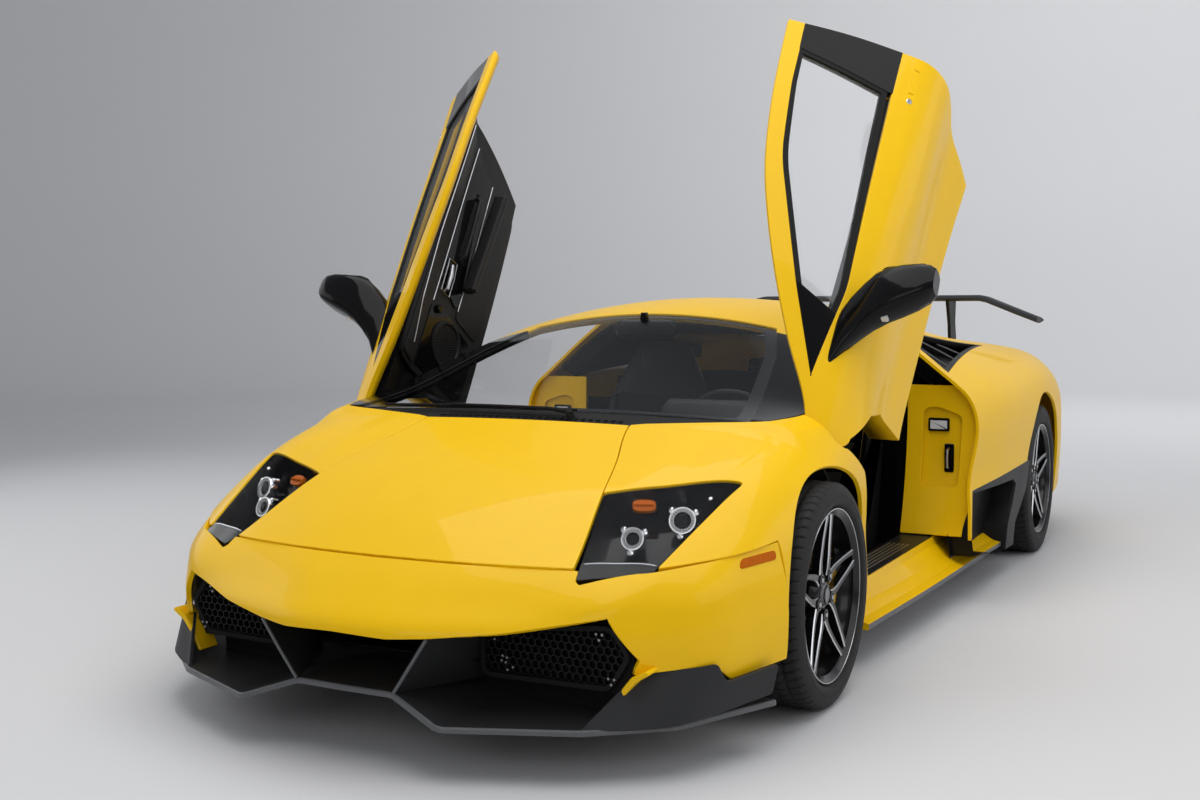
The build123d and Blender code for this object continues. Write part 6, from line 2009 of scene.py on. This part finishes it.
def trim_face(off):
    """The cabin face of a door's trim, from y and height, moved inboard by an offset."""

    def face(y, z):
        c = BODY.corners(y)
        x = [c[:, SILL, 0] - 98, c[:, WAIST, 0] - 113, c[:, CREST, 0] - 73]
        h = [np.full(len(y), 255.0), c[:, WAIST, 1], c[:, CREST, 1] - 45]
        t = np.clip((z - h[0]) / (h[1] - h[0]), 0, 1)
        u = np.clip((z - h[1]) / (h[2] - h[1]), 0, 1)
        return np.stack([x[0] + t * (x[1] - x[0]) + u * (x[2] - x[1]) - off, y, z], 1)

    return face


BRIGHT_STRIPS = (
    ((-821, 690), (-655, 728), (-377, 744), (122, 742)), ((-610, 640), (100, 630)),
    ((-560, 480), (30, 474))
)
# y, z and distance from the construction's trim
PULL = ((-372, 540, 10), (-350, 542, 34), (-220, 546, 40), (-90, 542, 34), (-70, 540, 10))
LATCH = ((-536, 588, 18), (-530, 588, 30), (-470, 590, 33), (-425, 590, 26))
LATCH_RING = ((-548, 560), (-548, 616), (-412, 618), (-404, 566), (-470, 558))  # y and z


def make_door_trims():
    """Door trims: a black shoulder, gloss panels, a pull, an armrest, a speaker and bright strips."""
    build = Build()

    def loop(points, radius, step=14):
        return dense(rounded(points, radius), step)

    def layer(points, radius, off, paint, wall, cut=(), roll=1.2):
        keep, more = [loop(points, radius)], {"wall": wall, "roll": roll, "paint": paint}
        panel(build, trim_face(off), keep, cut, outward=(-1, 0, 0), step=24, **more)

    layer(
        ((-898, 262), (30, 262), (56, 520), (118, 622), (140, 748), (-898, 752)),
        (60, 60, 30, 30, 16, 20), 16, 0, 14
    )
    layer(((-880, 650), (112, 640), (128, 738), (-880, 742)), 12, 22, 0, 8, roll=3)
    hollow = loop(((-380, 512), (-70, 512), (-60, 560), (-370, 566)), 16, 10)
    layer(
        ((-560, 486), (26, 480), (46, 560), (88, 622), (-500, 632)), (30, 14, 20, 10, 24), 22, 1, 7,
        [hollow]
    )
    layer(((-600, 300), (-40, 300), (18, 420), (24, 468), (-590, 474)), (50, 40, 20, 10, 20), 20, 2, 5)
    layer(
        ((-872, 318), (-640, 300), (-622, 420), (-600, 560), (-620, 634), (-872, 634)),
        (40, 30, 30, 30, 20, 20), 20, 1, 5
    )

    def on_trim(y, z, off):
        return spot(trim_face(off), y, z)

    for line in BRIGHT_STRIPS:
        along, heights = np.array(line, float).T
        ys = np.linspace(along[0], along[-1], 50)
        tube(build, [on_trim(y, np.interp(y, along, heights), 24) for y in ys], 2.6, 8, 3)
    prism(build, rounded(rect(742, 800, 470, 502), 14), "xz", -480, -30, 10, 0)
    tube(build, [on_trim(*p) for p in PULL], 9, 12, 0)
    tube(build, [on_trim(*p) for p in LATCH], (8, 9, 10, 8), 12, 3)
    tube(build, [on_trim(*p, 26) for p in LATCH_RING], 3, 8, 3, close=True)
    centre = on_trim(-715, 492, 20)
    turn = facing((-1, 0, 0))
    lathe(build, [(-2, TIP), (3, TIP), (4, 74), (10, 79), (10, 88), (-2, 91)], centre, 56, 0, turn=turn)
    for ring in range(1, 8):
        for k in range(6 * ring):
            point = about(centre, turn, 3.2, 9.8 * ring, 2 * pi * k / (6 * ring))
            lathe(build, pin(-0.5, 0.9, 2.6, 2.6), point, 6, 1, turn=turn)
    lathe(build, stud(-2, 12, 12, 16, 3), on_trim(-620, 594, 22), 28, 1, turn=turn)
    both_doors(build, "door_lining", "hide gloss satin steel", "interior", "door_trim")


# ------------------------------------------------------------------ running gear and construction
def make_carriers():
    """Hub carriers with calipers, steered in front, and the suspension's arms."""
    steer, fixed = Build(), Build()
    for name, (axle_y, axle_z), width, track, dish in TYRES:
        front = name == "front"
        disc = disc_x(width, dish)
        centre = np.array((track / 2, axle_y, axle_z))
        build = Build()
        hub = [(-100, TIP), (-100, 50), (-60, 56), (-12, 56), (-10, 29), (60, 29), (60, TIP)]
        lathe(build, [(disc + x, r) for x, r in hub], (0, 0, 0), 40, 1)
        post = ((-62, -118), (-20, -118), (-16, 0), (-20, 118), (-62, 118), (-56, 0))
        prism(build, rounded([(disc + x, z) for x, z in post], 8), "xz", -24, 24, 8, 1)
        angle = np.linspace(-CALIPER_SPREAD, CALIPER_SPREAD, 15)
        inner, outer = CALIPER
        shape = arc(outer, angle) + arc(inner, angle[::-1])
        for low, high in ((disc - 36, disc - 7), (disc + 41, disc + 92)):
            prism(build, rounded(shape, 4, 2), "yz", low, high, 7)
        bridge = arc(outer, angle) + arc(outer - 2.8, angle[::-1])
        prism(build, bridge, "yz", disc - 30, disc + 88, 1)
        for a in (-0.2, 0.2):
            lathe(build, stud(disc + 90, disc + 93, 12, 15, 1), (0, 163 * cos(a), 163 * sin(a)), 24, 0)
        (steer if front else fixed).take(build.moved(np.eye(3), centre))
        wall_x = 490 if front else 642
        for sign in (1, -1):
            z = axle_z + sign * 133
            outer_x = track / 2 + disc - 40 + 16
            for end in (-24, 24):
                line = [(wall_x, axle_y + end, z), (outer_x - 34, axle_y + end * 0.5, z)]
                tube(fixed, line, (10, 9), 12, 2)
            bush, turn = [(-12, TIP), (-12, 18), (12, 18), (12, TIP)], facing((0, 0, 1), (0, 1, 0))
            lathe(fixed, bush, (outer_x - 20, axle_y, z), 24, 2, turn=turn)
    steer_right = steer.mirrored()
    fixed.mirror()
    looks = "caliper iron satin"
    place(steer, "carrier_dress_left", looks, "carrier_front_left", "metal", "hub_carrier_left")
    place(steer_right, "carrier_dress_right", looks, "carrier_front_right", "metal", "hub_carrier_right")
    place(fixed, "suspension_parts", looks, "body", "metal", "suspension")


CARRIED = {"floor_tub": "under", "bulkheads": "carpet", "wheelhouses": "under", "engine_block": "alloy"}


def dress_construction():
    """Finishes for the construction's own pieces, whose shapes stay."""
    for name, look in CARRIED.items():
        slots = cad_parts[name].data.materials
        slots.clear()
        slots.append(coats(look)[0])


# ------------------------------------------------------------------ add-on
class SUPERCAR_OT_stage(Operator):
    """Pale floor with a rising backdrop, soft boxes and the camera"""

    bl_idname = "supercar.stage"
    bl_label = "Studio"

    def execute(self, context):
        make_stage()
        return {"FINISHED"}


class SUPERCAR_OT_panels(Operator):
    """Wings, bonnet, roof, quarters, engine lid and bumper, cut from one skin"""

    bl_idname = "supercar.panels"
    bl_label = "Painted panels"

    def execute(self, context):
        make_wings()
        make_bonnet()
        make_roof()
        make_quarters()
        make_engine_lid()
        make_bumper()
        return {"FINISHED"}


class SUPERCAR_OT_doors(Operator):
    """Door skins, frames, windows, linings and mirrors, swung up about the front pillars"""

    bl_idname = "supercar.doors"
    bl_label = "Scissor doors"

    def execute(self, context):
        make_doors()
        make_door_trims()
        make_mirrors()
        return {"FINISHED"}


class SUPERCAR_OT_splitter(Operator):
    """Splitter with its rolled lip, fins and side blades"""

    bl_idname = "supercar.splitter"
    bl_label = "Front splitter"

    def execute(self, context):
        make_splitter()
        return {"FINISHED"}


class SUPERCAR_OT_grilles(Operator):
    """Honeycomb grilles in the nose and across the tail"""

    bl_idname = "supercar.grilles"
    bl_label = "Honeycomb grilles"

    def execute(self, context):
        make_grilles()
        return {"FINISHED"}


class SUPERCAR_OT_lamps(Operator):
    """Headlamps under their covers, and the side markers"""

    bl_idname = "supercar.lamps"
    bl_label = "Front lamps"

    def execute(self, context):
        make_headlamps()
        make_side_markers()
        return {"FINISHED"}


class SUPERCAR_OT_wheels(Operator):
    """Tyres with moulded treads, spoked rims and drilled discs"""

    bl_idname = "supercar.wheels"
    bl_label = "Wheels"

    def execute(self, context):
        make_wheels()
        return {"FINISHED"}


class SUPERCAR_OT_glass(Operator):
    """Windscreen, rear window, and the cowl with its wiper"""

    bl_idname = "supercar.glass"
    bl_label = "Windscreen and cowl"

    def execute(self, context):
        make_glazing()
        make_cowl()
        return {"FINISHED"}


class SUPERCAR_OT_sills(Operator):
    """Side skirts and the doorways' treads"""

    bl_idname = "supercar.sills"
    bl_label = "Side skirts"

    def execute(self, context):
        make_sills()
        return {"FINISHED"}


class SUPERCAR_OT_intakes(Operator):
    """Upper intakes and lower scoops"""

    bl_idname = "supercar.intakes"
    bl_label = "Side intakes"

    def execute(self, context):
        make_side_intakes()
        return {"FINISHED"}


class SUPERCAR_OT_jambs(Operator):
    """The doors' shut faces with their lamps and strikers"""

    bl_idname = "supercar.jambs"
    bl_label = "Door jambs"

    def execute(self, context):
        make_jambs()
        return {"FINISHED"}


class SUPERCAR_OT_slats(Operator):
    """Louvres in the engine lid"""

    bl_idname = "supercar.slats"
    bl_label = "Engine slats"

    def execute(self, context):
        make_slats()
        return {"FINISHED"}


class SUPERCAR_OT_tail(Operator):
    """Tail panels, lamps, diffuser and exhaust"""

    bl_idname = "supercar.tail"
    bl_label = "Tail"

    def execute(self, context):
        make_tail()
        make_diffuser()
        return {"FINISHED"}


class SUPERCAR_OT_rear_wing(Operator):
    """Rear wing on its two struts"""

    bl_idname = "supercar.rear_wing"
    bl_label = "Rear wing"

    def execute(self, context):
        make_rear_wing()
        return {"FINISHED"}


class SUPERCAR_OT_dashboard(Operator):
    """Dashboard, dials and centre console"""

    bl_idname = "supercar.dashboard"
    bl_label = "Dashboard"

    def execute(self, context):
        make_dashboard()
        return {"FINISHED"}


class SUPERCAR_OT_steering_wheel(Operator):
    """Steering wheel and column"""

    bl_idname = "supercar.steering_wheel"
    bl_label = "Steering wheel"

    def execute(self, context):
        make_steering_wheel()
        return {"FINISHED"}


class SUPERCAR_OT_seats(Operator):
    """Two fluted bucket seats"""

    bl_idname = "supercar.seats"
    bl_label = "Seats"

    def execute(self, context):
        make_seats()
        return {"FINISHED"}


class SUPERCAR_OT_running_gear(Operator):
    """Hub carriers, calipers and suspension arms"""

    bl_idname = "supercar.running_gear"
    bl_label = "Running gear"

    def execute(self, context):
        make_carriers()
        return {"FINISHED"}


class SUPERCAR_OT_construction(Operator):
    """Finishes of the pieces whose construction shapes stay"""

    bl_idname = "supercar.construction"
    bl_label = "Construction finishes"

    def execute(self, context):
        dress_construction()
        return {"FINISHED"}


class PaintSettings(PropertyGroup):
    body: FloatVectorProperty(
        name="Body colour", description="Pearl paint of the body", subtype="COLOR",
        default=(0.90, 0.535, 0.0005), min=0, max=1
    )
    trim: FloatVectorProperty(
        name="Trim colour", description="Matt paint of the splitter and wing", subtype="COLOR",
        default=(0.022, 0.0225, 0.024), min=0, max=1
    )
    caliper: FloatVectorProperty(
        name="Caliper colour", description="Paint of the brake calipers", subtype="COLOR",
        default=(0.85, 0.48, 0.004), min=0, max=1
    )
    thread: FloatVectorProperty(
        name="Thread colour", description="Stitching in the cabin", subtype="COLOR",
        default=(0.55, 0.34, 0.02), min=0, max=1
    )


class DetailSettings(PropertyGroup):
    cell: FloatProperty(
        name="Grille cell", description="Pitch of the nose grilles' cells", default=0.021, min=0.01,
        max=0.06, unit="LENGTH"
    )
    slats: IntProperty(
        name="Engine slats", description="Number of louvres in the engine lid", default=6, min=3, max=9
    )
    tread: IntProperty(
        name="Tread pitches", description="Number of tread blocks around a tyre", default=64, min=32,
        max=96
    )
    flutes: IntProperty(
        name="Seat flutes", description="Number of flutes on each cushion", default=6, min=3, max=10
    )


class StageSettings(PropertyGroup):
    floor: FloatVectorProperty(
        name="Floor colour", description="Colour of the studio floor", subtype="COLOR",
        default=(0.70, 0.70, 0.71), min=0, max=1
    )
    floor_size: FloatProperty(
        name="Floor size", description="Width of the studio floor's flat part", default=24, unit="LENGTH"
    )
    sky: FloatProperty(name="Ambient", description="Strength of the light from all round", default=0.98)
    overhead: FloatProperty(
        name="Overhead", description="Power of the soft box above", default=190, unit="POWER"
    )
    wall: FloatProperty(
        name="Side walls", description="Power of the soft boxes beside", default=55, unit="POWER"
    )
    wash: FloatProperty(
        name="Backdrop wash", description="Power of the light on the backdrop", default=560, unit="POWER"
    )
    front: FloatProperty(
        name="Front fill", description="Power of the soft box in front", default=40, unit="POWER"
    )


PIECES = (
    SUPERCAR_OT_stage,
    SUPERCAR_OT_panels,
    SUPERCAR_OT_doors,
    SUPERCAR_OT_splitter,
    SUPERCAR_OT_grilles,
    SUPERCAR_OT_lamps,
    SUPERCAR_OT_wheels,
    SUPERCAR_OT_glass,
    SUPERCAR_OT_sills,
    SUPERCAR_OT_intakes,
    SUPERCAR_OT_jambs,
    SUPERCAR_OT_slats,
    SUPERCAR_OT_tail,
    SUPERCAR_OT_rear_wing,
    SUPERCAR_OT_dashboard,
    SUPERCAR_OT_steering_wheel,
    SUPERCAR_OT_seats,
    SUPERCAR_OT_running_gear,
    SUPERCAR_OT_construction,
)
SETTINGS = {"car_paint": PaintSettings, "car_detail": DetailSettings, "car_stage": StageSettings}


class SUPERCAR_PT_parts(Panel):
    """The car's pieces and settings"""

    bl_idname = "SUPERCAR_PT_parts"
    bl_label = "Supercar"
    bl_space_type = "VIEW_3D"
    bl_region_type = "UI"
    bl_category = "Supercar"

    def draw(self, context):
        for key, group in SETTINGS.items():
            box = self.layout.box()
            for prop in group.__annotations__:
                box.prop(getattr(context.scene, key), prop)
        for piece in PIECES:
            self.layout.operator(piece.bl_idname)


CLASSES = (*SETTINGS.values(), *PIECES, SUPERCAR_PT_parts)


def register():
    """Adds the classes and the settings."""
    for item in CLASSES:
        bpy.utils.register_class(item)
    for key, group in SETTINGS.items():
        setattr(bpy.types.Scene, key, PointerProperty(type=group))


def unregister():
    """Takes the settings and the classes away."""
    for key in SETTINGS:
        delattr(bpy.types.Scene, key)
    for item in reversed(CLASSES):
        bpy.utils.unregister_class(item)


def main():
    """Makes the car and the stage."""
    register()
    for piece in PIECES:
        getattr(bpy.ops.supercar, piece.bl_idname.split(".")[1])()


if __name__ == "__main__":
    main()
